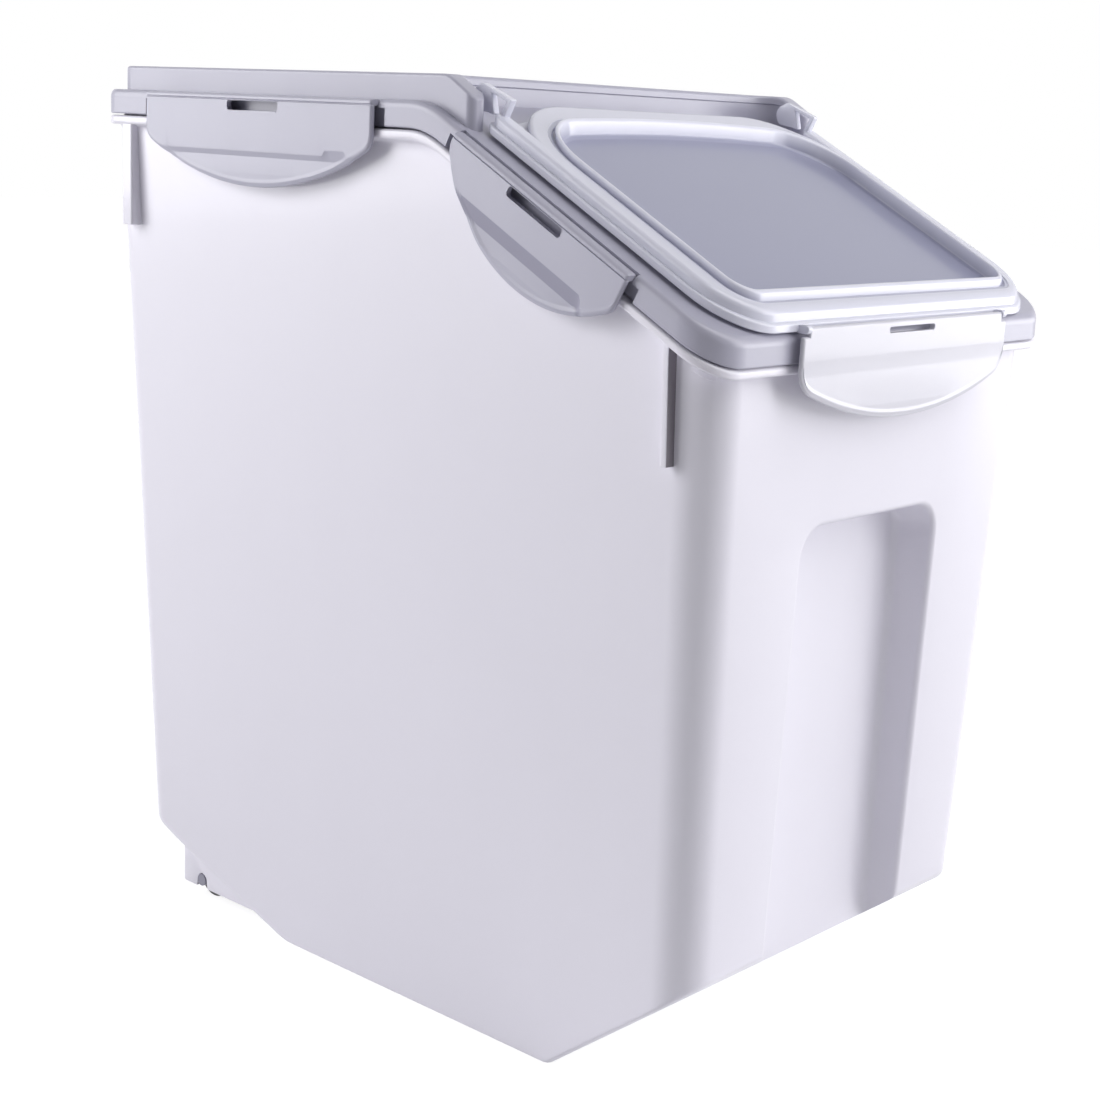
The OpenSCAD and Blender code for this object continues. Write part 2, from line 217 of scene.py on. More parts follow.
def grid_patch(grid: Array, closed: bool = True, keep: Optional[Array] = None) -> Patch:
    """Faces between neighbouring rows and columns of a grid.

    Args:
        grid: (rows, columns, 3) places.
        closed: Whether the last column joins the first.
        keep: Which faces stay, as (rows - 1, faces along a row) truth values.

    Returns:
        The patch.
    """
    rows, columns = grid.shape[:2]
    ring = columns if closed else columns - 1
    j = np.arange(ring)
    k = (j + 1) % columns
    base = np.arange(rows - 1)[:, None] * columns
    faces = np.stack([base + j, base + k, base + columns + k, base + columns + j], -1)
    if keep is not None:
        faces = faces[keep]
    return Patch(grid.reshape(-1, 3), faces.reshape(-1, 4))


def inside(places: Array, ring: Array) -> Array:
    """Which places lie inside a ring: those with an odd number of its edges to their right.

    Args:
        places: (n, 2) places.
        ring: (m, 2) points of the closed ring.

    Returns:
        (n,) truth values.
    """
    a, b = ring, np.roll(ring, -1, 0)
    y = places[:, 1:2]
    crosses = (a[None, :, 1] > y) != (b[None, :, 1] > y)
    rise = b[:, 1] - a[:, 1]
    rise = np.where(np.abs(rise) < 1e-12, 1e-12, rise)
    at = a[None, :, 0] + (y - a[None, :, 1]) * (b[:, 0] - a[:, 0])[None] / rise[None]
    return (crosses & (places[:, :1] < at)).sum(1) % 2 == 1


def gap_to(places: Array, ring: Array) -> Array:
    """Distance of each place to the nearest point of a ring."""
    return np.sqrt(((places[:, None] - ring[None]) ** 2).sum(-1)).min(1)


def sheet(outline: Array, holes: Sequence[Array] = (), axes: tuple = (0, 1, 2),
          height: Optional[Callable[[Array], Array]] = None, rows: Sequence[float] = (),
          pitch: float = 12.0) -> Patch:
    """Triangles that fill an outline around its holes and keep every point of both.

    Places inside lie on the given rows, a pitch apart, at the height that the function gives.

    Args:
        outline: (n, 3) places of the outer edge.
        holes: (m, 3) places of each hole's edge.
        axes: The two axes that span the sheet and the one that it rises along.
        height: Height of the sheet at (k, 2) places in its plane.
        rows: Places along the second axis of the rows of inner points.
        pitch: Spacing of the inner points.

    Returns:
        The patch.
    """
    rings = [np.asarray(outline)] + [np.asarray(h) for h in holes]
    flat = [r[:, list(axes[:2])] for r in rings]
    loops, start = [], 0
    for ring in flat:
        after = np.roll(ring, -1, 0)
        turn = (ring[:, 0] * after[:, 1] - after[:, 0] * ring[:, 1]).sum()
        loops.append((start + np.arange(len(ring)))[::1 if turn > 0 else -1].tolist())
        start += len(ring)
    points = np.vstack(rings)
    if len(rows):
        low, high = flat[0][:, 0].min(), flat[0][:, 0].max()
        spread = np.linspace(low, high, max(3, int((high - low) / pitch) + 1))[1:-1]
        inner = np.stack(np.meshgrid(spread, np.array(rows, float)), -1).reshape(-1, 2)
        clear = gap_to(inner, np.vstack(flat)) > 0.3 * pitch
        keep = inside(inner, flat[0]) & clear
        for ring in flat[1:]:
            keep &= ~inside(inner, ring)
        inner = inner[keep]
        extra = np.zeros((len(inner), 3))
        extra[:, list(axes[:2])] = inner
        extra[:, axes[2]] = height(inner)
        points = np.vstack([points, extra])
    plane = points[:, list(axes[:2])]
    places = [Vector(p) for p in plane.tolist()]
    _, _, triangles, place_ids, _, loop_ids = delaunay_2d_cdt(places, [], loops, 1, 1e-9, True)
    source = np.array([ids[0] if ids else 0 for ids in place_ids], int)
    faces = [face for face, owners in zip(triangles, loop_ids) if list(owners) == [0]]
    return Patch(points[source], np.array(faces, int))


def slab(line: Line, low: float, high: float, bevel: float, turn: Callable[[Array], Array]) -> list:
    """A solid between two heights over an outline, with rounded edges and flat ends.

    Args:
        line: The outline.
        low: Lower height.
        high: Upper height.
        bevel: Radius of the edges.
        turn: Turns (n, 3) places over the outline's plane into places in space.

    Returns:
        The patches.
    """
    section = profile((-bevel, low, 0), (0, low, bevel), (0, high, bevel), (-bevel, high, 0),
                      steps=3, guard=0.0001)
    grid = sweep(line, section, lambda x, y, h: np.stack([x, y, h], -1))
    made = [grid_patch(grid), sheet(grid[0]), sheet(grid[-1])]
    return [p.mapped(turn) for p in made]


def across(p: Array) -> Array:
    """Turns places over the side view's plane, (y, z, x), into places in space."""
    return p[:, [2, 0, 1]]


def both_sides(patches: Sequence[Patch]) -> list:
    """The patches and their mirror images."""
    return list(patches) + [p.mirrored() for p in patches]


def quarter_turn(steps: int) -> Array:
    """Angles of a quarter turn, from nought, with a number of faces between them."""
    return np.linspace(0, math.pi / 2, steps + 1)


def straight_step(x: Array, start: float, run: float) -> Array:
    """Rises in a straight line from 0 at a start to 1 a run further on."""
    return np.clip((x - start) / run, 0, 1)


def smooth_step(x: Array, a: float, b: float) -> Array:
    """Rises smoothly from 0 at a to 1 at b."""
    t = np.clip((x - a) / (b - a), 0, 1)
    return t * t * (3 - 2 * t)


@dataclass
class Piece:
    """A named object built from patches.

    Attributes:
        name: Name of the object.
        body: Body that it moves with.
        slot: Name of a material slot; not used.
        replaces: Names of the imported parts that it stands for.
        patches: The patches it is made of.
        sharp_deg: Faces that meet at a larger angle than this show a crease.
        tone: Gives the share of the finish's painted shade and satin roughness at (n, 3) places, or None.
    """

    name: str
    body: str
    slot: str
    replaces: tuple
    patches: list = field(default_factory=list)
    sharp_deg: float = 38.0
    tone: Optional[Callable[[Array], Array]] = None

    def add(self, *patches: Patch) -> None:
        """Adds patches to the piece."""
        self.patches += patches

    def mesh(self) -> bpy.types.Mesh:
        """Joins the patches, closes their seams and faces them outwards.

        Returns:
            The mesh, in metres.
        """
        points = np.vstack([p.points for p in self.patches]) * MM
        shift = np.cumsum([0] + [len(p.points) for p in self.patches[:-1]])
        faces = [p.faces + s for p, s in zip(self.patches, shift)]
        loops = np.concatenate([f.ravel() for f in faces])
        sizes = np.concatenate([np.full(len(f), f.shape[1]) for f in faces])
        starts = np.concatenate([[0], np.cumsum(sizes)[:-1]])
        mesh = bpy.data.meshes.new(self.name)
        mesh.vertices.add(len(points))
        mesh.vertices.foreach_set("co", points.astype(np.float32).ravel())
        mesh.loops.add(len(loops))
        mesh.loops.foreach_set("vertex_index", loops.astype(np.int32))
        mesh.polygons.add(len(sizes))
        mesh.polygons.foreach_set("loop_start", starts.astype(np.int32))
        mesh.update(calc_edges=True)
        mesh.validate()
        work = bmesh.new()
        work.from_mesh(mesh)
        bmesh.ops.remove_doubles(work, verts=work.verts, dist=SEAM_M)
        bmesh.ops.recalc_face_normals(work, faces=work.faces)
        open_edges = sum(1 for e in work.edges if len(e.link_faces) != 2)
        work.to_mesh(mesh)
        work.free()
        mesh.shade_smooth()
        mesh.set_sharp_from_angle(angle=math.radians(self.sharp_deg))
        log.info("%s: %d faces, %d open edges", self.name, len(mesh.polygons), open_edges)
        return mesh

    def make(self, material: bpy.types.Material) -> bpy.types.Object:
        """Builds the mesh, stores its tone of painted shade and satin, and links it under its body in place
        of the parts it stands for.

        Args:
            material: The piece's finish.

        Returns:
            The new object.
        """
        mesh = self.mesh()
        if self.tone is not None:
            places = np.empty(len(mesh.vertices) * 3, np.float32)
            mesh.vertices.foreach_get("co", places)
            values = self.tone(places.reshape(-1, 3) / MM).astype(np.float32)
            mesh.attributes.new(TONE, "FLOAT", "POINT").data.foreach_set("value", values)
        mesh.materials.append(material)
        obj = bpy.data.objects.new(self.name, mesh)
        bpy.context.scene.collection.objects.link(obj)
        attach(obj, self.body)
        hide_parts(*self.replaces)
        return obj


# ---------------------------------------------------------------- the rim that everything follows


@dataclass(frozen=True)
class Rim:
    """The side view line of the rim: level at the rear, then bent down to the front.

    Attributes:
        slope: Fall per millimetre in front of the bend.
        bend_y: How far in front of the middle the two straight lines would cross.
        bend_soft: How far the bend reaches to either side of that place.
        rim_z: Height of the underside of the bin's rim at the rear.
        frame_z: Height of the lid frame's lower edge at the rear.
    """

    slope: float = math.tan(math.radians(27.7))
    bend_y: float = 30.7
    bend_soft: float = 9.0
    rim_z: float = 360.2
    frame_z: float = 364.8

    def drop(self, y: Array) -> Array:
        """Fall below the level rear: none, then a parabola round the bend, then a straight slope.

        Args:
            y: Places along Y.

        Returns:
            How far the line lies below its rear there.
        """
        d = -self.bend_y - np.asarray(y, float)
        soft = self.slope * (d + self.bend_soft) ** 2 / (4 * self.bend_soft)
        return np.where(d < -self.bend_soft, 0.0, np.where(d > self.bend_soft, self.slope * d, soft))

    def on(self, level: float) -> Place:
        """Places a height above a line that runs parallel to the rim."""
        return lambda x, y, h: np.stack([x, y, level + h - self.drop(y)], -1)

    def stations(self) -> list:
        """Places along Y at which the bend needs rows of points."""
        reach = self.bend_soft + 0.6
        return (-self.bend_y - np.linspace(-reach, reach, 13)).tolist()

    def marks(self) -> list:
        """The same places as marks on a plan line."""
        return [(1, y) for y in self.stations()]


RIM = Rim()
SLOPE_SIN = math.sin(math.atan(RIM.slope))
SLOPE_COS = math.cos(math.atan(RIM.slope))


# ---------------------------------------------------------------- finishes


def shared_group(name: str, build: Callable[[bpy.types.NodeTree], None]) -> bpy.types.NodeTree:
    """The named node group, built the first time it is asked for.

    Args:
        name: Name of the group.
        build: Fills a new group with its sockets and nodes.

    Returns:
        The group.
    """
    group = bpy.data.node_groups.get(name)
    if group is None:
        group = bpy.data.node_groups.new(name, "ShaderNodeTree")
        build(group)
    return group


def build_moulded(group: bpy.types.NodeTree) -> None:
    """Moulded plastic: slow clouds in the colour, flow streaks, fine skin and faint scuffs.

    The colour is multiplied by 1 + cloud (clouds + 0.6 streaks - 0.8), and a trace less in blue.
    The roughness grows by scuff times the cube of a scratch pattern. The height is the fine skin
    and twice a slow waviness.

    Args:
        group: The empty group to fill.
    """
    sockets = group.interface
    for label, kind, value in (
        ("Colour", "NodeSocketColor", (0.8, 0.8, 0.8, 1)), ("Cloud", "NodeSocketFloat", 0.03),
        ("Roughness", "NodeSocketFloat", 0.3), ("Scuff", "NodeSocketFloat", 0.08),
        ("Skin size", "NodeSocketFloat", 900.0),
    ):
        socket = sockets.new_socket(label, in_out="INPUT", socket_type=kind)
        socket.default_value = value
    for label, kind in (("Colour", "NodeSocketColor"), ("Roughness", "NodeSocketFloat"),
                        ("Height", "NodeSocketFloat")):
        sockets.new_socket(label, in_out="OUTPUT", socket_type=kind)
    nodes, links = group.nodes, group.links
    source, sink = nodes.new("NodeGroupInput"), nodes.new("NodeGroupOutput")
    place = nodes.new("ShaderNodeTexCoord").outputs["Object"]

    def noise(scale: float, detail: float, stretch: tuple = (1, 1, 1)) -> bpy.types.NodeSocket:
        """A noise pattern on object places, stretched along the axes.

        Args:
            scale: How fine the pattern is, per metre.
            detail: Number of finer layers in it.
            stretch: Fineness along each axis.

        Returns:
            The pattern's value.
        """
        mapping = nodes.new("ShaderNodeMapping")
        mapping.inputs["Scale"].default_value = stretch
        links.new(place, mapping.inputs["Vector"])
        made = nodes.new("ShaderNodeTexNoise")
        made.inputs["Scale"].default_value = scale
        made.inputs["Detail"].default_value = detail
        links.new(mapping.outputs["Vector"], made.inputs["Vector"])
        return made.outputs["Fac"]

    def number(kind: str, a: object, b: object) -> bpy.types.NodeSocket:
        """A sum, product or other value of two sockets or numbers.

        Args:
            kind: Name of the operation.
            a: First socket or number.
            b: Second socket or number.

        Returns:
            The value's socket.
        """
        made = nodes.new("ShaderNodeMath")
        made.operation = kind
        for socket, value in zip(made.inputs, (a, b)):
            if isinstance(value, (int, float)):
                socket.default_value = value
            else:
                links.new(value, socket)
        return made.outputs[0]

    streaks = number("MULTIPLY", noise(30, 2, (1, 1, 0.15)), 0.6)
    clouds = number("ADD", noise(9, 3), streaks)
    swing = number("MULTIPLY", number("SUBTRACT", clouds, 0.8), source.outputs["Cloud"])
    level = number("ADD", swing, 1.0)
    tint = nodes.new("ShaderNodeCombineColor")
    for channel, gain in (("Red", 1.0), ("Green", 1.0), ("Blue", 0.994)):
        links.new(number("MULTIPLY", level, gain), tint.inputs[channel])
    shade = nodes.new("ShaderNodeMix")
    shade.data_type = "RGBA"
    shade.blend_type = "MULTIPLY"
    shade.inputs["Factor"].default_value = 1.0
    links.new(source.outputs["Colour"], shade.inputs["A"])
    links.new(tint.outputs["Color"], shade.inputs["B"])
    links.new(shade.outputs["Result"], sink.inputs["Colour"])

    scratches = number("POWER", noise(70, 4, (1, 1, 0.3)), 3.0)
    dulled = number("MULTIPLY", scratches, source.outputs["Scuff"])
    links.new(number("ADD", source.outputs["Roughness"], dulled), sink.inputs["Roughness"])

    skin = nodes.new("ShaderNodeTexNoise")
    links.new(place, skin.inputs["Vector"])
    links.new(source.outputs["Skin size"], skin.inputs["Scale"])
    waviness = number("MULTIPLY", noise(55, 1), 2.0)
    links.new(number("ADD", skin.outputs["Fac"], waviness), sink.inputs["Height"])


PLASTIC_IOR = 1.49
COAT_ROUGHNESS = 0.08
SKIN_STRENGTH = 0.35


@dataclass(frozen=True)
class Finish:
    """A moulded material.

    Attributes:
        name: Name of the material.
        colour: Linear red, green and blue.
        roughness: Spread of the gloss.
        cloud: How far the colour wanders.
        scuff: How far handling has dulled the gloss.
        skin: Scale of the fine surface pattern.
        depth: Height of that pattern in metres.
        alpha: Share of light that the surface stops.
        coat: Weight of the clear skin on top.
        painted_shade: Linear colour where the mesh's tone is one: painted shade that stands in for shade
            which the shapes don't cast, such as the dark inside seen through a pane.
        satin: Roughness where the mesh's tone is one, such as a finely textured top.
    """

    name: str
    colour: tuple
    roughness: float = 0.3
    cloud: float = 0.035
    scuff: float = 0.1
    skin: float = 900.0
    depth: float = 0.00002
    alpha: float = 1.0
    coat: float = 0.0
    painted_shade: Optional[tuple] = None
    satin: Optional[float] = None

    def material(self) -> bpy.types.Material:
        """Builds the node material the first time and finds it after that.

        Returns:
            The material.
        """
        made = bpy.data.materials.get(self.name)
        if made is not None:
            return made
        made = bpy.data.materials.new(self.name)
        made.use_nodes = True
        nodes, links = made.node_tree.nodes, made.node_tree.links
        shader = nodes["Principled BSDF"]
        effect = nodes.new("ShaderNodeGroup")
        effect.node_tree = shared_group("moulded_surface", build_moulded)
        for label, value in (
            ("Colour", (*self.colour, 1)), ("Cloud", self.cloud), ("Roughness", self.roughness),
            ("Scuff", self.scuff), ("Skin size", self.skin),
        ):
            effect.inputs[label].default_value = value
        bump = nodes.new("ShaderNodeBump")
        bump.inputs["Strength"].default_value = SKIN_STRENGTH
        bump.inputs["Distance"].default_value = self.depth
        links.new(effect.outputs["Height"], bump.inputs["Height"])
        links.new(bump.outputs["Normal"], shader.inputs["Normal"])
        tone = nodes.new("ShaderNodeAttribute")
        tone.attribute_name = TONE
        # The tone mixes in the painted shade colour and the satin roughness.
        for label, target, kind, other in (
            ("Colour", "Base Color", "RGBA", self.painted_shade and (*self.painted_shade, 1)),
            ("Roughness", "Roughness", "FLOAT", self.satin),
        ):
            result = effect.outputs[label]
            if other:
                mix = nodes.new("ShaderNodeMix")
                mix.data_type = kind
                links.new(tone.outputs["Fac"], mix.inputs["Factor"])
                links.new(result, mix.inputs["A"])
                mix.inputs["B"].default_value = other
                result = mix.outputs["Result"]
            links.new(result, shader.inputs[target])
        for label, value in (("Alpha", self.alpha), ("Coat Weight", self.coat),
                             ("Coat Roughness", COAT_ROUGHNESS), ("IOR", PLASTIC_IOR)):
            shader.inputs[label].default_value = value
        return made


class Finishes(Enum):
    """The finishes of the bin."""

    # The bin's second colour is painted shade, near black, on the front ribs' front faces.
    BIN = Finish("bin_plastic_white", (0.78, 0.765, 0.84), cloud=0.03, coat=0.15,
                 painted_shade=(0.11, 0.09, 0.11))
    LID = Finish("lid_plastic_grey", (0.41, 0.405, 0.49), satin=0.55)
    # The latches' second colour is painted shade on the slanted latches' sunken band.
    LATCH = Finish("latch_plastic_grey", (0.42, 0.415, 0.50), painted_shade=(0.28, 0.275, 0.35), satin=0.5)
    # The clear lid's second colour is painted shade: the shaded inside of the bin seen through the window,
    # and dimmer walls, groove and deck.
    CLEAR = Finish("clear_plastic_frosted", (0.87, 0.875, 0.98), roughness=0.22, cloud=0.02, scuff=0.04,
                   alpha=0.8, coat=0.2, painted_shade=(0.37, 0.38, 0.52))
    FROST = Finish("clear_plastic_white", (0.71, 0.705, 0.77), cloud=0.015, scuff=0.04,
                   alpha=0.86, coat=0.1)
    SEAL = Finish("seal_silicone", (0.82, 0.82, 0.84), roughness=0.55, cloud=0.02)
    WHEEL = Finish("wheel_plastic_dark", (0.045, 0.045, 0.055), roughness=0.42, cloud=0.1, scuff=0.2)
    AXLE = Finish("axle_plastic_grey", (0.27, 0.265, 0.33), roughness=0.4, cloud=0.05)


# ---------------------------------------------------------------- bin


@dataclass(frozen=True)
class WallSet:
    """Sizes that differ between the outside and the inside of the bin's wall.

    Attributes:
        inset: Distance in from the outside.
        lift: Height of the floor's face above the underside.
        round: Radius of the bottom edge and of the recess's front edge.
        grip_half_w: Half width of the hand recess.
        grip_top: Top height of the recess.
        grip_r: Radius of its top corners.
        grip_back: Place of its back face along Y.
        grip_round: Radius where its sides meet its back.
        top_gap: How far below the rim the wall's rows end.
    """

    inset: float
    lift: float
    round: float
    grip_half_w: float
    grip_top: float
    grip_r: float
    grip_back: float
    grip_round: float
    top_gap: float

    @property
    def grip_edge(self) -> float:
        """Half width of the recess with the round along its front edge."""
        return self.grip_half_w + self.round


OUTSIDE = WallSet(0.0, 0.0, 2.5, 46.5, 226.0, 12.5, -150.0, 4.0, 1.5)
INNER = WallSet(2.4, 2.7, 3.0, 48.9, 228.4, 14.9, -147.6, 6.0, 7.0)
AXLE_Y = 129.0
# Places along Y that get a row of points, since the underside bends there.
BEND_ROWS = (-98, -96.5, -95, -93.5, -92, 20, 63, 64.5, 66, 67.5, 69, 100, 141, 143, 145)
FLOOR_ROWS = sorted((-140, -120, -105, *BEND_ROWS, 130, 150, 154, 157, 158.5, 160))
# Shares of the height between the bottom edge and the rim at which the wall gets a row.
WALL_SHARES = (0.004, 0.02, 0.1, 0.3, 0.5, 0.7, 0.85, 0.93, 0.97, 0.99, 1.0)
SETTLE_ROUNDS = 8


def soft_max(a: Array, b: Array, soft: float) -> Array:
    """The larger of two heights, rounded where they cross.

    Args:
        a: First heights.
        b: Second heights.
        soft: Difference below which the corner between them is rounded.

    Returns:
        The heights.
    """
    h = np.maximum(soft - np.abs(a - b), 0) / soft
    return np.maximum(a, b) + h * h * soft / 4


@dataclass
class BinBody:
    """The tall drafted bin: wall, chamfered bottom, hand recess, rim, ribs and wheel brackets.

    Attributes:
        plan: Half width, front, rear, front radius and rear radius of the wall at the floor.
        flange: The same five sizes of the rim's flange.
        lip: The same five sizes of the lip that enters the lid.
        side_draft: How far the sides drift outwards per millimetre of height.
        front_draft: How far the front drifts along Y per millimetre of height.
        rear_draft: How far the rear drifts along Y per millimetre of height.
        side_fade: How far from the middle the sides' drift starts, and the length it grows over.
        front_fade: The same for the front's drift.
        rear_fade: The same for the rear's drift.
        chamfer_y: Where the front chamfer meets the floor.
        chamfer: Its height and length.
        ramp_y: Where the floor turns up into the rear ramp.
        ramp: The ramp's height and length.
        steep: Slope of the short steep face behind the ramp.
        heel: Place along Y, height and radius of the round that meets the rear wall.
        heel_y: Where that round starts.
        grip_draft: How far the recess narrows from its front edge to its back.
        flange_t: Height of the flange.
        lip_h: Height of the lip above the flange's underside.
        rib_y: Front face of the front ribs.
        rib_shade: How dark the painted shade on that face is, from nought to one. It stands in for the
            shade inside an open slot, which the solid rib doesn't have.
        round_steps: Faces across each round of the wall.
    """

    plan: tuple = (95.0, -163.0, 162.6, 16.0, 10.0)
    flange: tuple = (116.2, -173.1, 172.7, 15.7, 10.0)
    lip: tuple = (110.6, -168.2, 167.4, 11.0, 6.0)
    side_draft: float = 0.048
    front_draft: float = -0.0205
    rear_draft: float = 0.0198
    side_fade: tuple = (60.0, 19.0)
    front_fade: tuple = (125.0, 22.0)
    rear_fade: tuple = (146.0, 6.6)
    chamfer_y: float = -95.0
    chamfer: tuple = (54.0, 69.107)
    ramp_y: float = 66.0
    ramp: tuple = (26.7, 77.0)
    steep: float = 0.4532
    heel: tuple = (151.5, 43.7, 12.0)
    heel_y: float = 156.9
    grip_draft: float = 2.0
    flange_t: float = 3.9
    lip_h: float = 10.3
    rib_y: float = -151.82
    rib_shade: float = 0.85
    round_steps: int = 5

    def underside(self, y: Array) -> Array:
        """Height of the underside: the highest of the chamfer, the floor, the ramp and the heel.

        Args:
            y: Places along Y.

        Returns:
            The heights, rounded where two faces meet.
        """
        y = np.asarray(y, float)
        rise, run = self.chamfer
        chamfer = (self.chamfer_y - y) * rise / run
        rise, run = self.ramp
        ramp = (y - self.ramp_y) * rise / run
        steep = rise + (y - self.ramp_y - run) * self.steep
        front, rear = soft_max(chamfer, 0.0, 2.0), soft_max(ramp, steep, 1.0)
        lower = soft_max(front, rear, 1.5)
        middle, top, radius = self.heel
        heel = top - np.sqrt(np.maximum(radius ** 2 - (y - middle) ** 2, 0.0))
        return np.where(y > self.heel_y, np.maximum(heel, lower), lower)

    def line(self, plan: tuple, grip_edge: float) -> Line:
        """A plan line with the same points along it as every other level of the bin.

        Args:
            plan: Half width, front, rear, front radius and rear radius.
            grip_edge: Half width of the hand recess where it opens into the front wall.

        Returns:
            The line.
        """
        marks = [(0, s * x) for s in (-1, 1) for x in (20.0, grip_edge)]
        marks += [(1, y) for y in BEND_ROWS]
        return plan_line(*plan, marks + RIM.marks())

    def level(self, sizes: WallSet, line: Line, z: Array, more: float = 0.0) -> Array:
        """Plan places of the wall: each point drifts outwards by its draft times its height.

        The drift fades to none round the corners, so that each point stays on its own face.

        Args:
            sizes: Sizes of this face of the bin.
            line: The plan line at the floor.
            z: (n,) heights.
            more: Further distance inwards.

        Returns:
            (n, 2) places.
        """
        x, y = line.points.T
        dx = self.side_draft * np.sign(x) * straight_step(np.abs(x), *self.side_fade)
        dy = self.front_draft * straight_step(-y, *self.front_fade)
        dy = dy + self.rear_draft * straight_step(y, *self.rear_fade)
        return line.points - line.normals * (sizes.inset + more) + np.stack([dx, dy], 1) * z[:, None]

    def wall_grid(self, sizes: WallSet, line: Line) -> Array:
        """Rows of the wall: a quarter round from the bottom face, then rows up to the rim.

        A row's height follows from its places, which drift with its height, so both are worked
        out in turns until they agree.

        Args:
            sizes: Sizes of this face of the bin.
            line: The plan line at the floor.

        Returns:
            (rows, points, 3) grid.
        """
        rows = []
        for a in quarter_turn(self.round_steps)[::-1]:
            inward, up = sizes.round * (1 - np.cos(a)), sizes.round * (1 - np.sin(a))
            z = np.zeros(len(line.points))
            for _ in range(SETTLE_ROUNDS):
                z = self.underside(self.level(sizes, line, z, inward)[:, 1]) + sizes.lift + up
            rows.append(np.column_stack([self.level(sizes, line, z, inward), z]))
        low = rows[-1][:, 2]
        high = low
        for _ in range(SETTLE_ROUNDS):
            high = RIM.rim_z - sizes.top_gap - RIM.drop(self.level(sizes, line, high)[:, 1])
        for share in WALL_SHARES:
            z = low + (high - low) * share
            rows.append(np.column_stack([self.level(sizes, line, z), z]))
        return np.stack(rows)

    def walls(self, sizes: WallSet) -> tuple:
        """The wall, the bottom and the hand recess of one face of the bin.

        The wall's grid leaves out the front above its bottom round. A flat sheet with a gap for
        the recess fills the front, and the recess is its own grid, joined to both by its edge.

        Args:
            sizes: Sizes of that face.

        Returns:
            The patches, the wall's top row and its plan line.
        """
        half_w, front_y, _, r_front, _ = self.plan
        edge = sizes.grip_edge
        line = self.line(self.plan, edge)
        x, y = line.points.T
        grid = self.wall_grid(sizes, line)
        rounds, count = self.round_steps, len(x)
        front = int(np.argmin(np.abs(x + half_w - r_front) + np.abs(y - front_y)))
        in_front = np.arange(count) >= front
        in_grip = in_front & (np.maximum(np.abs(x), np.abs(np.roll(x, -1))) < edge + 0.01)
        keep = np.ones((len(grid) - 1, count), bool)
        keep[rounds:, in_front] = False
        keep[:rounds, in_grip] = False

        base = grid[rounds]
        flat = np.concatenate([np.arange(front, count), [0]])
        left = flat[base[flat, 0] < -edge + 0.01]
        right = flat[base[flat, 0] > edge - 0.01]
        grip = self.grip_grid(sizes, grid[:, left[-1]])
        outline = np.vstack([
            base[left], grip[0, 1:-1], base[right], grid[rounds + 1:, 0],
            grid[-1, flat[1:-1]][::-1], grid[rounds + 1:, front][::-1],
        ])
        share = np.linspace(0, 1, 9)[1:-1, None]
        foot = grip[-1, 0] * (1 - share) + grip[-1, -1] * share
        patches = [
            grid_patch(grid, True, keep),
            grid_patch(grip, False),
            sheet(outline, axes=(0, 2, 1)),
            sheet(np.vstack([grip[-1], foot[::-1]]), axes=(0, 2, 1)),
        ]
        for column, side in ((left[-1], 0), (right[0], -1)):
            strip = np.stack([grid[:rounds + 1, column][::-1], grip[:rounds + 1, side]], 1)
            patches.append(grid_patch(strip, False))
        ring = np.concatenate([right, np.arange(1, front), left])
        notch = np.vstack([grip[rounds:, 0], foot, grip[rounds:, -1][::-1]])
        patches.append(sheet(np.vstack([grid[0, ring], notch]), rows=FLOOR_ROWS, pitch=9,
                             height=lambda p: self.underside(p[:, 1]) + sizes.lift))
        return patches, grid[-1], line

    def grip_grid(self, sizes: WallSet, foot: Array) -> Array:
        """The hand recess's edge line carried from the front wall to the recess's back.

        The edge is two uprights joined by a round top. It goes inwards as a quarter round, a
        drafted side and a second quarter round into the back.

        Args:
            sizes: Sizes of this face of the bin.
            foot: (rows, 3) places of the wall's rows beside the recess's left edge.

        Returns:
            (rows, points, 3) grid, whose end columns lie on the bottom round and the floor.
        """
        edge = sizes.grip_edge
        r, top = sizes.grip_r + sizes.round, sizes.grip_top + sizes.round
        z_low = float(foot[self.round_steps, 2])
        marks = [(1, z) for z in (66, 80, 110, 140, 170, 195)] + [(0, 0)]
        path = corner_line([(-edge, z_low, 0), (-edge, top, r), (edge, top, r), (edge, z_low, 0)],
                           False, 10, 0.8, marks)
        face = self.plan[1] + sizes.inset + self.front_draft * path.points[:, 1]
        end = sizes.grip_back - sizes.grip_round
        turn = quarter_turn(self.round_steps)
        steps = [(sizes.round * math.sin(a), face + sizes.round * (1 - math.cos(a))) for a in turn]
        start = face + (sizes.round + 0.4)
        for t in (0.0, 0.5, 0.96):
            steps.append((sizes.round + self.grip_draft * t, start * (1 - t) + end * t))
        for a in turn:
            y = np.full(len(face), sizes.grip_back - sizes.grip_round * (1 - math.sin(a)))
            steps.append((sizes.round + self.grip_draft + sizes.grip_round * (1 - math.cos(a)), y))
        made = np.stack([np.insert(path.moved(inward), 1, y, axis=1) for inward, y in steps])
        rounds = self.round_steps + 1
        for side in (0, -1):
            made[:rounds, side, 1:] = foot[:rounds, 1:][::-1]
            made[rounds:, side, 2] = self.underside(made[rounds:, side, 1]) + sizes.lift
        return made

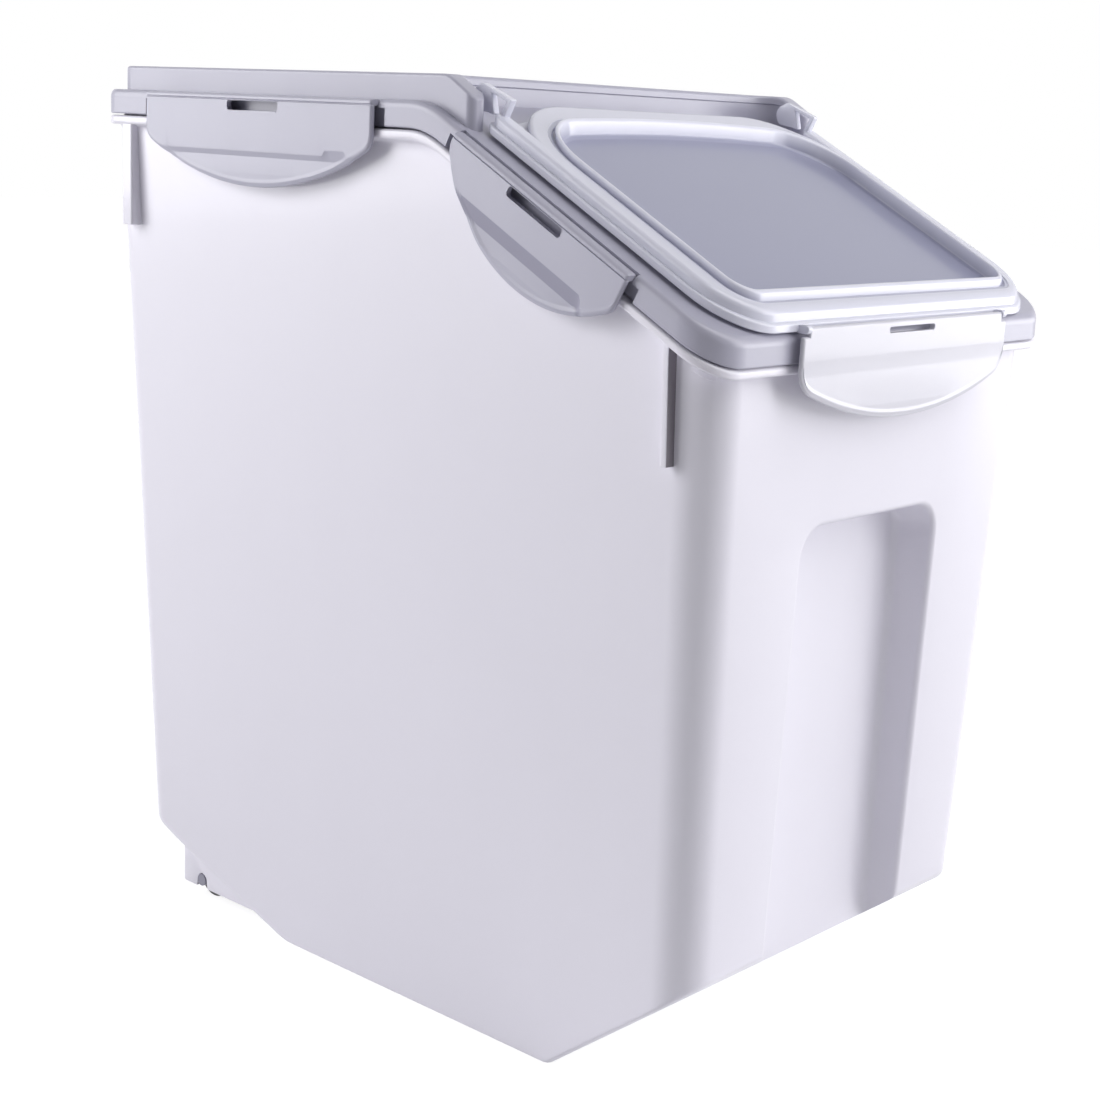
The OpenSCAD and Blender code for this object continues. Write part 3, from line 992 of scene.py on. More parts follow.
    def rim(self, top: Array, line: Line, inner_top: Array) -> Patch:
        """The rim: a flange with a round edge, then the thin lip that enters the lid.

        Args:
            top: Top row of the wall's outside.
            line: The outside's plan line.
            inner_top: Top row of the wall's inside.

        Returns:
            The patch that joins the two rows over the rim.
        """
        on = RIM.on(RIM.rim_z)
        flange, lip = (self.line(plan, OUTSIDE.grip_edge) for plan in (self.flange, self.lip))
        fillet = OUTSIDE.top_gap
        under = []
        for a in quarter_turn(4)[1:]:
            x, y = (top[:, :2] + line.normals * fillet * (1 - math.cos(a))).T
            under.append(on(x, y, np.full(len(x), fillet * (math.sin(a) - 1))))
        edge = sweep(flange, profile((-3, 0, 0), (0, 0, 1.4), (0, self.flange_t, 1.4),
                                     (-3.6, self.flange_t, 0)), on)
        lips = sweep(lip, profile((1.2, self.flange_t, 0), (0, self.flange_t, 0.7), (0, self.lip_h, 0.9),
                                  (-2.4, self.lip_h, 0.9), (-2.4, -5.0, 0)), on)
        return grid_patch(np.concatenate([top[None], np.stack(under), edge, lips, inner_top[None]]))

    def ribs(self) -> list:
        """The upright ribs under the rim, one near each vertical edge of the sides.

        Returns:
            The patches.
        """
        low, high, measured_at = 253.5, 299.5, 293
        wall = self.plan[0] + self.side_draft * measured_at
        front = corner_line([(wall - 4, low, 0), (wall + 2.6, low, 0.6), (wall + 5.0, high, 0),
                             (wall - 4, high, 0)], True, 5, 0.3)
        rear = corner_line([(108.5, 151.7, 0), (115.5, 151.7, 0.9), (115.5, 158.6, 0.9), (108.5, 158.6, 0)],
                           True, 4, 0.3)
        return both_sides(
            slab(front, self.rib_y, -149.2, 0.3, lambda p: p[:, [0, 2, 1]])
            + slab(rear, 317.0, 361.2, 0.5, lambda p: p)
        )

    def rib_painted_shade(self, p: Array) -> Array:
        """Painted shade on the front face of the front ribs, standing in for a slot's shade, and nought
        elsewhere.
        """
        on_face = (np.abs(p[:, 1] - self.rib_y) < 0.01) & (np.abs(p[:, 0]) > 100) & (p[:, 2] > 250)
        return on_face * self.rib_shade

    def brackets(self) -> list:
        """Pairs of plates under the ramp, each with an open slot that holds the axle.

        Returns:
            The patches.
        """
        slot = [(AXLE_Y + 3.35 * math.cos(a), 10.0 + 3.35 * math.sin(a), 0)
                for a in np.linspace(math.pi, 0, 17)]
        shape = [(84.4, 6.4, 0.6), (125.2, 6.4, 0.5), *slot, (132.8, 6.4, 0.5),
                 (142.5, 6.4, 1.5), (142.5, 27.7, 0), (84.4, 7.9, 0)]
        line = corner_line(shape, True, 4, 0.3)
        return both_sides([p for x in (68.0, 89.6) for p in slab(line, x, x + 2.4, 0.25, across)])

    def build(self) -> None:
        """Makes the bin."""
        # The tone paints shade on the front faces of the front ribs.
        piece = Piece("bin_body_shell", "bin", "bin_plastic", ("bin_body",), tone=self.rib_painted_shade)
        outer, top, line = self.walls(OUTSIDE)
        inner, inner_top, _ = self.walls(INNER)
        piece.add(*outer, *inner, self.rim(top, line, inner_top))
        piece.add(*self.ribs(), *self.brackets())
        piece.make(Finishes.BIN.value.material())


# ---------------------------------------------------------------- lid frame


SKIRT_H = 10.4  # height of the lid frame's skirt, up to the ledge round its rim
LEAN_PIVOT = SKIRT_H * (1 - SLOPE_COS)  # what a slanted latch sinks, as its skirt leans back
REAR_LATCH_Y = 65.6  # middle of the rear latches along Y
SLANT_LATCH_AT = 66.3  # middle of the slanted latches, down the slope from the bend


@dataclass(frozen=True)
class Notch:
    """A recess in the lid frame's skirt that houses a latch.

    Attributes:
        middle: Place of its middle along Y at the skirt's lower edge.
        half: Half length of its upper part, along Y.
        half_low: Half length of its lower part, along Y.
        split: Height at which the two meet.
        shear: How far its ends lean back per millimetre of height.
    """

    middle: float
    half: float
    half_low: float
    split: float
    shear: float

    def marks(self) -> list:
        """Places along Y on both sides of each of its ends."""
        ends = [self.middle + s * h for s in (-1, 1) for h in (self.half, self.half_low)]
        return [(1, e + d) for e in ends for d in (-0.02, 0.02)]

    def holds(self, y: Array, h: Array) -> Array:
        """Which places on the skirt lie inside the notch."""
        along = np.abs(y + h * self.shear - self.middle)
        return (along < self.half) | ((along < self.half_low) & (h < self.split))


REAR_NOTCH = Notch(REAR_LATCH_Y, 71.3, 75.0, 6.9, 0.0)
SLANT_NOTCH = Notch(-RIM.bend_y - SLANT_LATCH_AT * SLOPE_COS, 49.3 * SLOPE_COS, 53.0 * SLOPE_COS, 6.45,
                    SLOPE_SIN * SLOPE_COS)


@dataclass
class LidFrame:
    """The grey lid: skirt and ledge round the rim, opening lip, and the raised rear panel.

    Attributes:
        plan: Half width, front, rear, front radius and rear radius of the skirt.
        opening: The same five sizes of the lip round the front opening.
        skirt_t: Thickness of the skirt.
        plate_t: Thickness of the ledge and the panel.
        round: Height of the round between the skirt and the ledge.
        lip_h: Height of the opening's lip above the skirt's lower edge.
        notch_x: Distance of the notches' floors from the middle.
        panel_z: Height of the panel's top.
        panel_rear: Rear end of the panel.
        panel_bend: Where the top starts to fall towards the horns.
        panel_fall: Its fall per millimetre over the horns.
        horn_in: Distance of the horns' inner faces from the middle.
        horn_out: Distance of their outer faces from the middle.
        horn_tip: Place of their tips along Y.
        brow: How far the panel's front edge stands out over its foot.
    """

    plan: tuple = (116.0, -173.8, 172.7, 17.0, 10.0)
    opening: tuple = (98.0, -170.6, -52.5, 17.0, 40.0)
    skirt_t: float = 4.6
    plate_t: float = 2.4
    round: float = 3.2
    lip_h: float = 15.0
    notch_x: float = 113.2
    panel_z: float = 385.3
    panel_rear: float = 167.5
    panel_bend: float = -37.0
    panel_fall: float = 0.5956
    horn_in: float = 102.4
    horn_out: float = 110.5
    horn_tip: float = -50.6
    brow: float = 0.45

    def on_skirt(self, x: Array, y: Array, h: Array) -> Array:
        """Places on the skirt: rows lean back square to the slope, and notches are pushed in.

        Args:
            x: Places along X.
            y: Places along Y at the skirt's lower edge.
            h: Heights above that edge.

        Returns:
            The places in space.
        """
        lean = SLANT_NOTCH.shear * (1 - smooth_step(y, -42.7, -18.7)) * smooth_step(y, -155.5, -141.0)
        y = y - h * lean
        notched = REAR_NOTCH.holds(y, h) | (SLANT_NOTCH.holds(y, h) & (y < -30))
        x = np.where(notched & (np.abs(x) > self.notch_x), np.sign(x) * self.notch_x, x)
        return np.stack([x, y, RIM.frame_z + h - RIM.drop(y)], -1)

    def skirt(self) -> list:
        """Skirt and ledge round the rim, with the lip and the hole inside the ledge.

        The skirt's section goes up its inside, round its lower edge, up its outside and over the
        round to the ledge. Two more rows stand where each notch changes its length.

        Returns:
            The patches.
        """
        line = plan_line(*self.plan, REAR_NOTCH.marks() + SLANT_NOTCH.marks() + RIM.marks() + [(0, 0.0)])
        under = SKIRT_H - self.plate_t
        turn = quarter_turn(7)
        inside_to_out = profile(
            (-self.skirt_t - 0.25, under, 0), (-self.skirt_t, under, 0.15), (-self.skirt_t, 0, 0.4),
            (0, 0, 0.6), (0, SKIRT_H - self.round - 0.3, 0), steps=4)
        over = np.column_stack([2.1 * (np.cos(turn) - 1), SKIRT_H + self.round * (np.sin(turn) - 1)])
        section = np.vstack([inside_to_out, over, [[-2.4, SKIRT_H]]])
        cuts = sorted(n.split + d for n in (REAR_NOTCH, SLANT_NOTCH) for d in (-0.02, 0.02))
        first = np.where((section[:, 0] > -0.01) & (section[:, 1] < 5))[0][-1] + 1
        section = np.insert(section, first, [[0.0, c] for c in cuts], axis=0)

        on = RIM.on(RIM.frame_z)
        grid = sweep(line, section, self.on_skirt)
        lip = sweep(plan_line(*self.opening), profile(
            (0.5, SKIRT_H, 0), (0, SKIRT_H, 0.3), (0, self.lip_h, 0.7), (-2, self.lip_h, 0.7),
            (-2, under, 0), steps=4), on)
        hollow = plan_line(109.3, -27.8, 166.3, 12, 7, RIM.marks())
        wall = sweep(hollow, np.array([[0, SKIRT_H], [0, under]]), on)
        made = [grid_patch(grid), grid_patch(lip), grid_patch(wall)]
        above, below = (lip[0], wall[0]), (lip[-1], wall[1])
        for edge, holes, level in ((grid[-1], above, SKIRT_H), (grid[0], below, under)):
            made.append(sheet(edge, holes, rows=RIM.stations() + [20.0], pitch=10,
                              height=lambda p, v=level: RIM.frame_z + v - RIM.drop(p[:, 1])))
        return made

    def panel_top(self, y: Array) -> Array:
        """Height of the panel's top: level, then falling over the horns, rounded where it bends.

        Args:
            y: Places along Y.

        Returns:
            The heights.
        """
        d = self.panel_bend - np.asarray(y, float)
        soft = np.where(d > 3, d, np.where(d < -3, 0.0, (d + 3) ** 2 / 12))
        return self.panel_z - self.panel_fall * soft

    def panel(self) -> list:
        """Raised rear panel with two horns that carry the flip lid's hinge.

        Its outline is carried up from the ledge and in over a round edge. Below the brow the
        front face is set back.

        Returns:
            The patches.
        """
        side = [(1, y) for y in (-46, -43, -41.5, -40, -38.5, -37, -35.5, -34, -32, -25, -20)]
        tip, a, b, r = self.horn_tip, self.horn_in, self.horn_out, 3.4
        half = [(-b, self.panel_rear, 9.0), (-b, tip, r), (-a, tip, r), (-a, -29.0, 13.0)]
        corners = [(b, tip, r), (b, self.panel_rear, 9.0), *half, (a, -29.0, 13.0), (a, tip, r)]
        line = corner_line(corners, True, 12, 0.5, side + RIM.marks())
        x, y = line.points.T
        front = (np.abs(x) < a + 0.1) & (y > -47)
        brow = front * smooth_step(y, -44, -36) * self.brow
        turn = quarter_turn(7)
        low = np.array([-30, -12, -6, -4.1, -3.8, -3.3, -3.1, -1.6])
        inward = np.concatenate([low * 0, 1.3 * (np.cos(turn) - 1)])[:, None]
        fall = np.concatenate([low, 1.3 * (np.sin(turn) - 1)])[:, None]
        flat = line.points[None] + line.normals[None] * (inward - (fall < -3.5) * brow[None])[..., None]
        foot_h = RIM.frame_z + SKIRT_H - 1.0
        z = np.maximum(self.panel_top(flat[..., 1]) + fall, foot_h - RIM.drop(flat[..., 1]))
        outer = np.concatenate([flat, z[..., None]], -1)

        hollow = plan_line(108.1, -26.6, 165.1, 12, 6.6, RIM.marks())
        rows = [RIM.on(foot_h)(*hollow.points.T, np.zeros(len(hollow.points)))]
        ceiling = self.panel_z - self.plate_t
        for inset, below in ((0, 2.0), (0.3, 0.9), (0.9, 0.3), (2.0, 0.0)):
            rows.append(np.insert(hollow.moved(-inset), 2, ceiling - below, axis=1))
        inner = np.stack(rows)
        return [
            grid_patch(outer),
            grid_patch(inner),
            sheet(outer[-1], rows=(-30, -25, 0, 40, 80, 120, 150),
                  height=lambda p: self.panel_top(p[:, 1])),
            sheet(inner[-1]),
            sheet(outer[0], (inner[0],)),
        ]

    def satin_tone(self, p: Array) -> Array:
        """One on the flat top of the rear panel, which has a fine texture, and nought elsewhere."""
        return ((p[:, 2] > self.panel_top(p[:, 1]) - 0.05) & (p[:, 1] > self.panel_bend - 1)) * 1.0

    def build(self) -> None:
        """Makes the lid frame."""
        piece = Piece("lid_frame_shell", "lid", "lid_plastic", ("lid_frame",), tone=self.satin_tone)
        piece.add(*self.skirt(), *self.panel())
        piece.make(Finishes.LID.value.material())


# ---------------------------------------------------------------- latches


def border(grid: Array, r0: int, r1: int, c0: int, c1: int) -> Array:
    """The border of a block of a grid, in order.

    Args:
        grid: (rows, columns, 3) places.
        r0: First row.
        r1: Last row.
        c0: First column.
        c1: Last column.

    Returns:
        (n, 3) places.
    """
    return np.concatenate([grid[r0:r1, c0], grid[r1, c0:c1], grid[r1:r0:-1, c1], grid[r0, c1:c0:-1]])


@dataclass(frozen=True)
class Latch:
    """A latch plate: creased section, arched lower edge, slot near the top.

    Attributes:
        name: Name of the latch.
        length: Length along its axis.
        bottom: Height of its lowest point.
        arc_r: Radius of the arched edge.
        shift: Place of the arc's centre along the latch.
        corner: Radius of the lower corners.
        levels: (height, outer face, inner face) of each row from the top down. A fourth value of
            one makes a row follow the bump.
        slot: Half length, low and high edge of the slot.
        top: Height of its top edge.
        bump: Ends along the latch and rise of a raised stretch of the step, or None.
        droop: Where the creases start and stop sinking along the latch, and how far, or None.
        short: Half length and height of cut top corners, or None.
        flare: How far the lip along the lower edge stands out.
        edge: How far the round edge stands out from the faces.
        slot_r: Radius of the slot's corners.
    """

    name: str
    length: float
    bottom: float
    arc_r: float
    shift: float
    corner: float
    levels: tuple
    slot: tuple
    top: float = 10.25
    bump: Optional[tuple] = None
    droop: Optional[tuple] = None
    short: Optional[tuple] = None
    flare: float = 0.3
    edge: float = 1.1
    slot_r: float = 1.3

    def lower_edge(self, u: Array) -> Array:
        """Height of the lower edge: an arc, with rounded corners where it meets the ends.

        Args:
            u: Places along the latch.

        Returns:
            The heights.
        """
        half = self.length / 2
        arc = self.bottom + self.arc_r - np.sqrt(np.maximum(self.arc_r ** 2 - (u - self.shift) ** 2, 0))
        out = []
        for side in (-1, 1):
            c_u = side * (half - self.corner)
            inner_r = self.arc_r - self.corner
            c_v = self.bottom + self.arc_r - math.sqrt(max(inner_r ** 2 - (c_u - self.shift) ** 2, 0))
            reach = np.clip(np.abs(u - c_u), 0, self.corner - TINY)
            round_v = c_v - np.sqrt(self.corner ** 2 - reach ** 2)
            to_centre = np.array([c_u - self.shift, c_v - self.bottom - self.arc_r])
            touch = self.shift + to_centre[0] / np.linalg.norm(to_centre) * self.arc_r
            out.append(np.where(side * (u - touch) > 0, round_v, arc))
        return np.where(u < 0, out[0], out[1])

    def crease_heights(self, u: Array) -> Array:
        """Heights of the section's rows: lifted over the bump, and sunk where the creases droop.

        Args:
            u: Places along the latch.

        Returns:
            (rows, n) heights.
        """
        heights = np.array([r[0] for r in self.levels])
        rows = np.repeat(heights[:, None], len(u), 1)
        if self.bump:
            start, end, rise = self.bump
            follow = np.array([r[3] if len(r) > 3 else 0.0 for r in self.levels])
            lift = rise * (smooth_step(u, start - 1.6, start) - smooth_step(u, end, end + 1.6))
            rows = rows + follow[:, None] * lift[None]
        if self.droop:
            start, end, fall = self.droop
            rows = rows - (heights < -4)[:, None] * fall * smooth_step(-u, -start, -end)[None]
        return rows

    def faces(self, v: Array, levels: Array) -> tuple:
        """Outer and inner faces at heights v, by straight lines between the section's rows.

        Args:
            v: (m, n) heights.
            levels: (rows, n) heights of the section's rows.

        Returns:
            Two (m, n) arrays of distances outwards.
        """
        span = np.maximum(levels[:-1] - levels[1:], TINY)
        share = np.clip((levels[:-1, None] - v[None]) / span[:, None], 0, 1)
        outer, inner = (np.array([r[i] for r in self.levels]) for i in (1, 2))
        return tuple(w[0] + (np.diff(w)[:, None, None] * share).sum(0) for w in (outer, inner))

    def columns(self) -> Array:
        """Places of the mesh's columns along the latch: close at its ends and at each feature.

        Returns:
            The places, in order.
        """
        s_half = self.slot[0]
        marks = [s * (s_half + d) for s in (-1, 1) for d in (-2.2, 0, 2.2)]
        if self.bump:
            marks += [self.bump[0] - 1.6, self.bump[0], self.bump[1], self.bump[1] + 1.6]
        if self.droop:
            marks += list(np.linspace(self.droop[0], self.droop[1], 7))
        if self.short:
            marks += [s * (self.short[0] + d) for s in (-1, 1) for d in (-0.02, 0.02)]
        fan = (self.length / 2 - self.edge) * np.sin(np.linspace(-math.pi / 2, math.pi / 2, 73))
        fan = fan[np.min(np.abs(fan[:, None] - np.array(marks)), 1) > 0.8]
        return np.sort(np.concatenate([fan, marks]))

    def round_edge(self, outer: Array, inner: Array) -> Patch:
        """Half an ellipse carried round the outline, from the outer to the inner face.

        Args:
            outer: (n, 3) border of the outer face.
            inner: (n, 3) border of the inner face.

        Returns:
            The patch.
        """
        fresh = np.linalg.norm(np.diff(outer, axis=0, append=outer[:1]), axis=1) > 1e-5
        outer, inner = outer[fresh], inner[fresh]
        flat = outer[:, :2]
        ahead = unit(np.roll(flat, -1, 0) - flat)
        behind = unit(flat - np.roll(flat, 1, 0))
        step = unit(ahead + behind)
        normal = np.stack([-step[:, 1], step[:, 0]], 1)
        if ((flat - flat.mean(0)) * normal).sum() < 0:
            normal = -normal
        rows = []
        for a in np.linspace(0, math.pi, 9):
            t = (1 - math.cos(a)) / 2
            point = outer * (1 - t) + inner * t
            point[:, :2] += normal * self.edge * math.sin(a)
            rows.append(point)
        return grid_patch(np.stack(rows))

    def patches(self) -> list:
        """Outer and inner faces, the slot's walls and a round edge, in (along, up, out) places.

        Rows follow the creases and stop at the lower edge; columns run across. Beside the slot's
        corners the columns are pulled along an arc.

        Returns:
            The patches.
        """
        s_half, s_low, s_high = self.slot
        u = self.columns()
        whole = self.length / 2 / (self.length / 2 - self.edge)
        low = self.lower_edge(u * whole) + self.edge
        high = np.full(len(u), self.top - self.edge)
        if self.short:
            high = np.where(np.abs(u) > self.short[0], self.short[1] - self.edge, high)
        levels = self.crease_heights(u)
        v = np.maximum(np.minimum(levels, high[None]), low[None] + 2.4)
        v = np.vstack([v, low[None] + np.array([1.8, 1.0, 0.4, 0.0])[:, None]])
        flare = np.zeros((len(v), 1))
        flare[-3:-1, 0] = self.flare
        outer_w, inner_w = self.faces(v, levels)
        outer_w = np.minimum(outer_w + flare, outer_w.max() + 0.05)
        u_grid = np.broadcast_to(u, v.shape).copy()
        reach = np.clip(np.minimum(v - s_low, s_high - v), 0, self.slot_r)
        pull = self.slot_r - np.sqrt(self.slot_r ** 2 - (self.slot_r - reach) ** 2)
        on_slot = (v > s_low - 0.01) & (v < s_high + 0.01)
        for side in (-1, 1):
            at = np.abs(u - side * s_half) < TINY
            u_grid[:, at] -= side * np.where(on_slot[:, at], pull[:, at], 0)
        sides = [np.stack([u_grid, v, w], -1) for w in (outer_w, inner_w)]
        rows = np.where((levels[:, 0] <= s_high + TINY) & (levels[:, 0] >= s_low - TINY))[0]
        columns = np.where(np.abs(u) <= s_half + TINY)[0]
        hole = (rows[0], rows[-1], columns[0], columns[-1])
        keep = np.ones((len(v) - 1, len(u) - 1), bool)
        keep[hole[0]:hole[1], hole[2]:hole[3]] = False
        outline = [border(g, 0, len(v) - 1, 0, len(u) - 1) for g in sides]
        return [
            *(grid_patch(g, False, keep) for g in sides),
            grid_patch(np.stack([border(g, *hole) for g in sides])),
            self.round_edge(*outline),
        ]


@dataclass(frozen=True)
class SideSection:
    """The section of a side latch, as distances from the bin's middle.

    Attributes:
        slot: Low and high edge of the slot.
        step_high: Height at which the face starts to sink.
        step_low: Height at which it has sunk.
        sunk: Depth of the sunken band.
        flare: How far the lip below the band comes out again.
        low: Height of the lowest point.
        out: Outer face.
        arm: Inner face beside the hinge.
    """

    slot: tuple
    step_high: float
    step_low: float
    sunk: float
    flare: float
    low: float
    out: float = 119.2
    arm: float = 113.7

    def levels(self) -> tuple:
        """Rows from the top down: hinge arm, groove, slot, flat, step, sunken band and lip.

        Returns:
            (height, outer face, inner face) of each row, and a one where it follows the bump.
        """
        o, arm, plate, band = self.out, self.arm, 116.9, 116.0
        s_low, s_high = self.slot
        groove, sunk = s_high + 0.45, o - self.sunk
        ease = (0.0, 0.15, 0.45, 0.9, 1.3)
        return (
            (9.6, o, arm), (groove + 0.42, o, arm), (groove + 0.28, o - 0.12, arm),
            (groove + 0.1, o - 0.55, arm), (groove - 0.1, o - 0.55, arm),
            (groove - 0.25, o - 0.12, arm), (groove - 0.35, o, band),
            *((s_high - d, o, plate) for d in ease),
            *((s_low + d, o, plate) for d in reversed(ease)),
            (s_low - 0.6, o, plate), (-3.0, o, plate),
            (self.step_high + 0.6, o, plate, 1.0), (self.step_high + 0.2, o - 0.02, plate, 1.0),
            (self.step_high, o - 0.1, plate - 0.1, 1.0),
            (self.step_low + 0.15, sunk + 0.04, band), (self.step_low, sunk, band),
            (self.step_low - 0.3, sunk + 0.02, band),
            (self.low + 5.6, sunk + self.flare, 116.4), (self.low + 5.2, sunk + self.flare - 0.02, 116.4),
            (self.low, sunk, 116.1),
        )


@dataclass
class Latches:
    """The five latches: two at the rear, two on the slope and a clear one at the front.

    Attributes:
        band: High and low crease of the slanted latches' sunken band.
        droop: Where those creases start and stop sinking towards the front, and how far.
        front_at: Hinge line of the front latch, along Y and Z.
    """

    band: tuple = (-8.0, -14.0)
    droop: tuple = (-33.0, -42.0, 16.0)
    front_at: tuple = (-176.9, 302.2)

    def rear_place(self, p: Array) -> Array:
        """Turns (along, up, out) places of a rear latch into space, on the right side."""
        return np.stack([p[:, 2], REAR_LATCH_Y + p[:, 0], RIM.frame_z + p[:, 1]], -1)

    def slant_place(self, p: Array) -> Array:
        """Turns (along, up, out) places of a slanted latch into space, on the right side.

        Args:
            p: (n, 3) places on the latch.

        Returns:
            (n, 3) places in space.
        """
        along, up = p[:, 0] - SLANT_LATCH_AT, p[:, 1] - LEAN_PIVOT
        y = -RIM.bend_y + along * SLOPE_COS - up * SLOPE_SIN
        z = RIM.frame_z + along * SLOPE_SIN + up * SLOPE_COS
        return np.stack([p[:, 2], y, z], -1)

    def front_place(self, p: Array) -> Array:
        """Turns (along, up, out) places of the front latch into space."""
        y, z = self.front_at
        return np.stack([p[:, 0], y - p[:, 2], z + p[:, 1]], -1)

    def band_painted_shade(self, p: Array) -> Array:
        """Painted shade: one on the sunken band of the slanted latches, between its creases, darkening it
        as a dark reflection would, and nought elsewhere.

        Args:
            p: (n, 3) places in space.

        Returns:
            (n,) tones.
        """
        back, rise = p[:, 1] + RIM.bend_y, p[:, 2] - RIM.frame_z
        along = back * SLOPE_COS + rise * SLOPE_SIN + SLANT_LATCH_AT
        up = rise * SLOPE_COS - back * SLOPE_SIN + LEAN_PIVOT
        start, end, fall = self.droop
        up = up + fall * smooth_step(-along, -start, -end)
        high, low = self.band
        return ((up < high + 0.1) & (up > low - 0.1)) * 1.0

    def side(self, latch: Latch, turn: Callable[[Array], Array],
             tone: Optional[Callable[[Array], Array]] = None) -> None:
        """Makes a side latch and its mirror image on the left.

        Args:
            latch: The latch.
            turn: Turns its places into space, on the right side.
            tone: Gives the share of painted shade and satin roughness at places in space, or None.
        """
        right = [p.mapped(turn) for p in latch.patches()]
        for side, shapes in (("right", right), ("left", [p.mirrored() for p in right])):
            node = f"{latch.name}_{side}"
            piece = Piece(f"{node}_plate", node, "lid_plastic", (node,), shapes, tone=tone)
            piece.make(Finishes.LATCH.value.material())

    def front(self) -> None:
        """Makes the clear front latch, a flat plate with a shallow sunken band."""
        o, inner = 1.1, -1.0
        s_low, s_high = slot = (-3.6, -1.2)
        ease = (0.0, 0.15, 0.45, 0.8)
        levels = (
            (0.2, o, inner), (-0.4, o, inner), (-0.8, o, inner),
            *((s_high - d, o, inner) for d in ease),
            *((s_low + d, o, inner) for d in reversed(ease)),
            (-4.2, o, inner), (-7.5, o, inner),
            (-10.8, o, inner), (-11.4, o - 0.02, inner), (-11.8, o - 0.05, inner),
            (-16.4, o - 0.26, -1.1), (-16.8, o - 0.27, -1.1), (-17.3, o - 0.27, -1.1),
            (-29.6, o - 0.15, -0.6), (-30.0, o - 0.17, -0.6), (-36, o - 0.7, -0.9),
        )
        latch = Latch("front_latch", 142.0, -35.7, 185.0, 0.0, 10.0, levels, (16.0, *slot), top=1.1,
                      short=(66.2, -2.4))
        shapes = [p.mapped(self.front_place) for p in latch.patches()]
        piece = Piece("front_latch_plate", "front_latch", "clear_plastic", ("front_latch",), shapes)
        piece.make(Finishes.FROST.value.material())

    def build(self) -> None:
        """Makes the latches."""
        section = SideSection((3.7, 7.6), -12.8, -14.6, 1.2, 0.25, -26.8)
        rear = Latch("rear_latch", 142.0, section.low, 148.0, 0.0, 6.0, section.levels(),
                     (16.0, *section.slot), bump=(-55.5, -44.5, 2.2))
        self.side(rear, self.rear_place)
        section = SideSection((3.5, 7.6), *self.band, 2.2, 0.8, -24.4)
        slant = Latch("slant_latch", 98.0, section.low, 64.0, -3.6, 5.0, section.levels(),
                      (15.0, *section.slot), droop=self.droop)
        # The slanted latches' sunken band gets painted shade.
        self.side(slant, self.slant_place, self.band_painted_shade)
        self.front()


# ---------------------------------------------------------------- flip lid


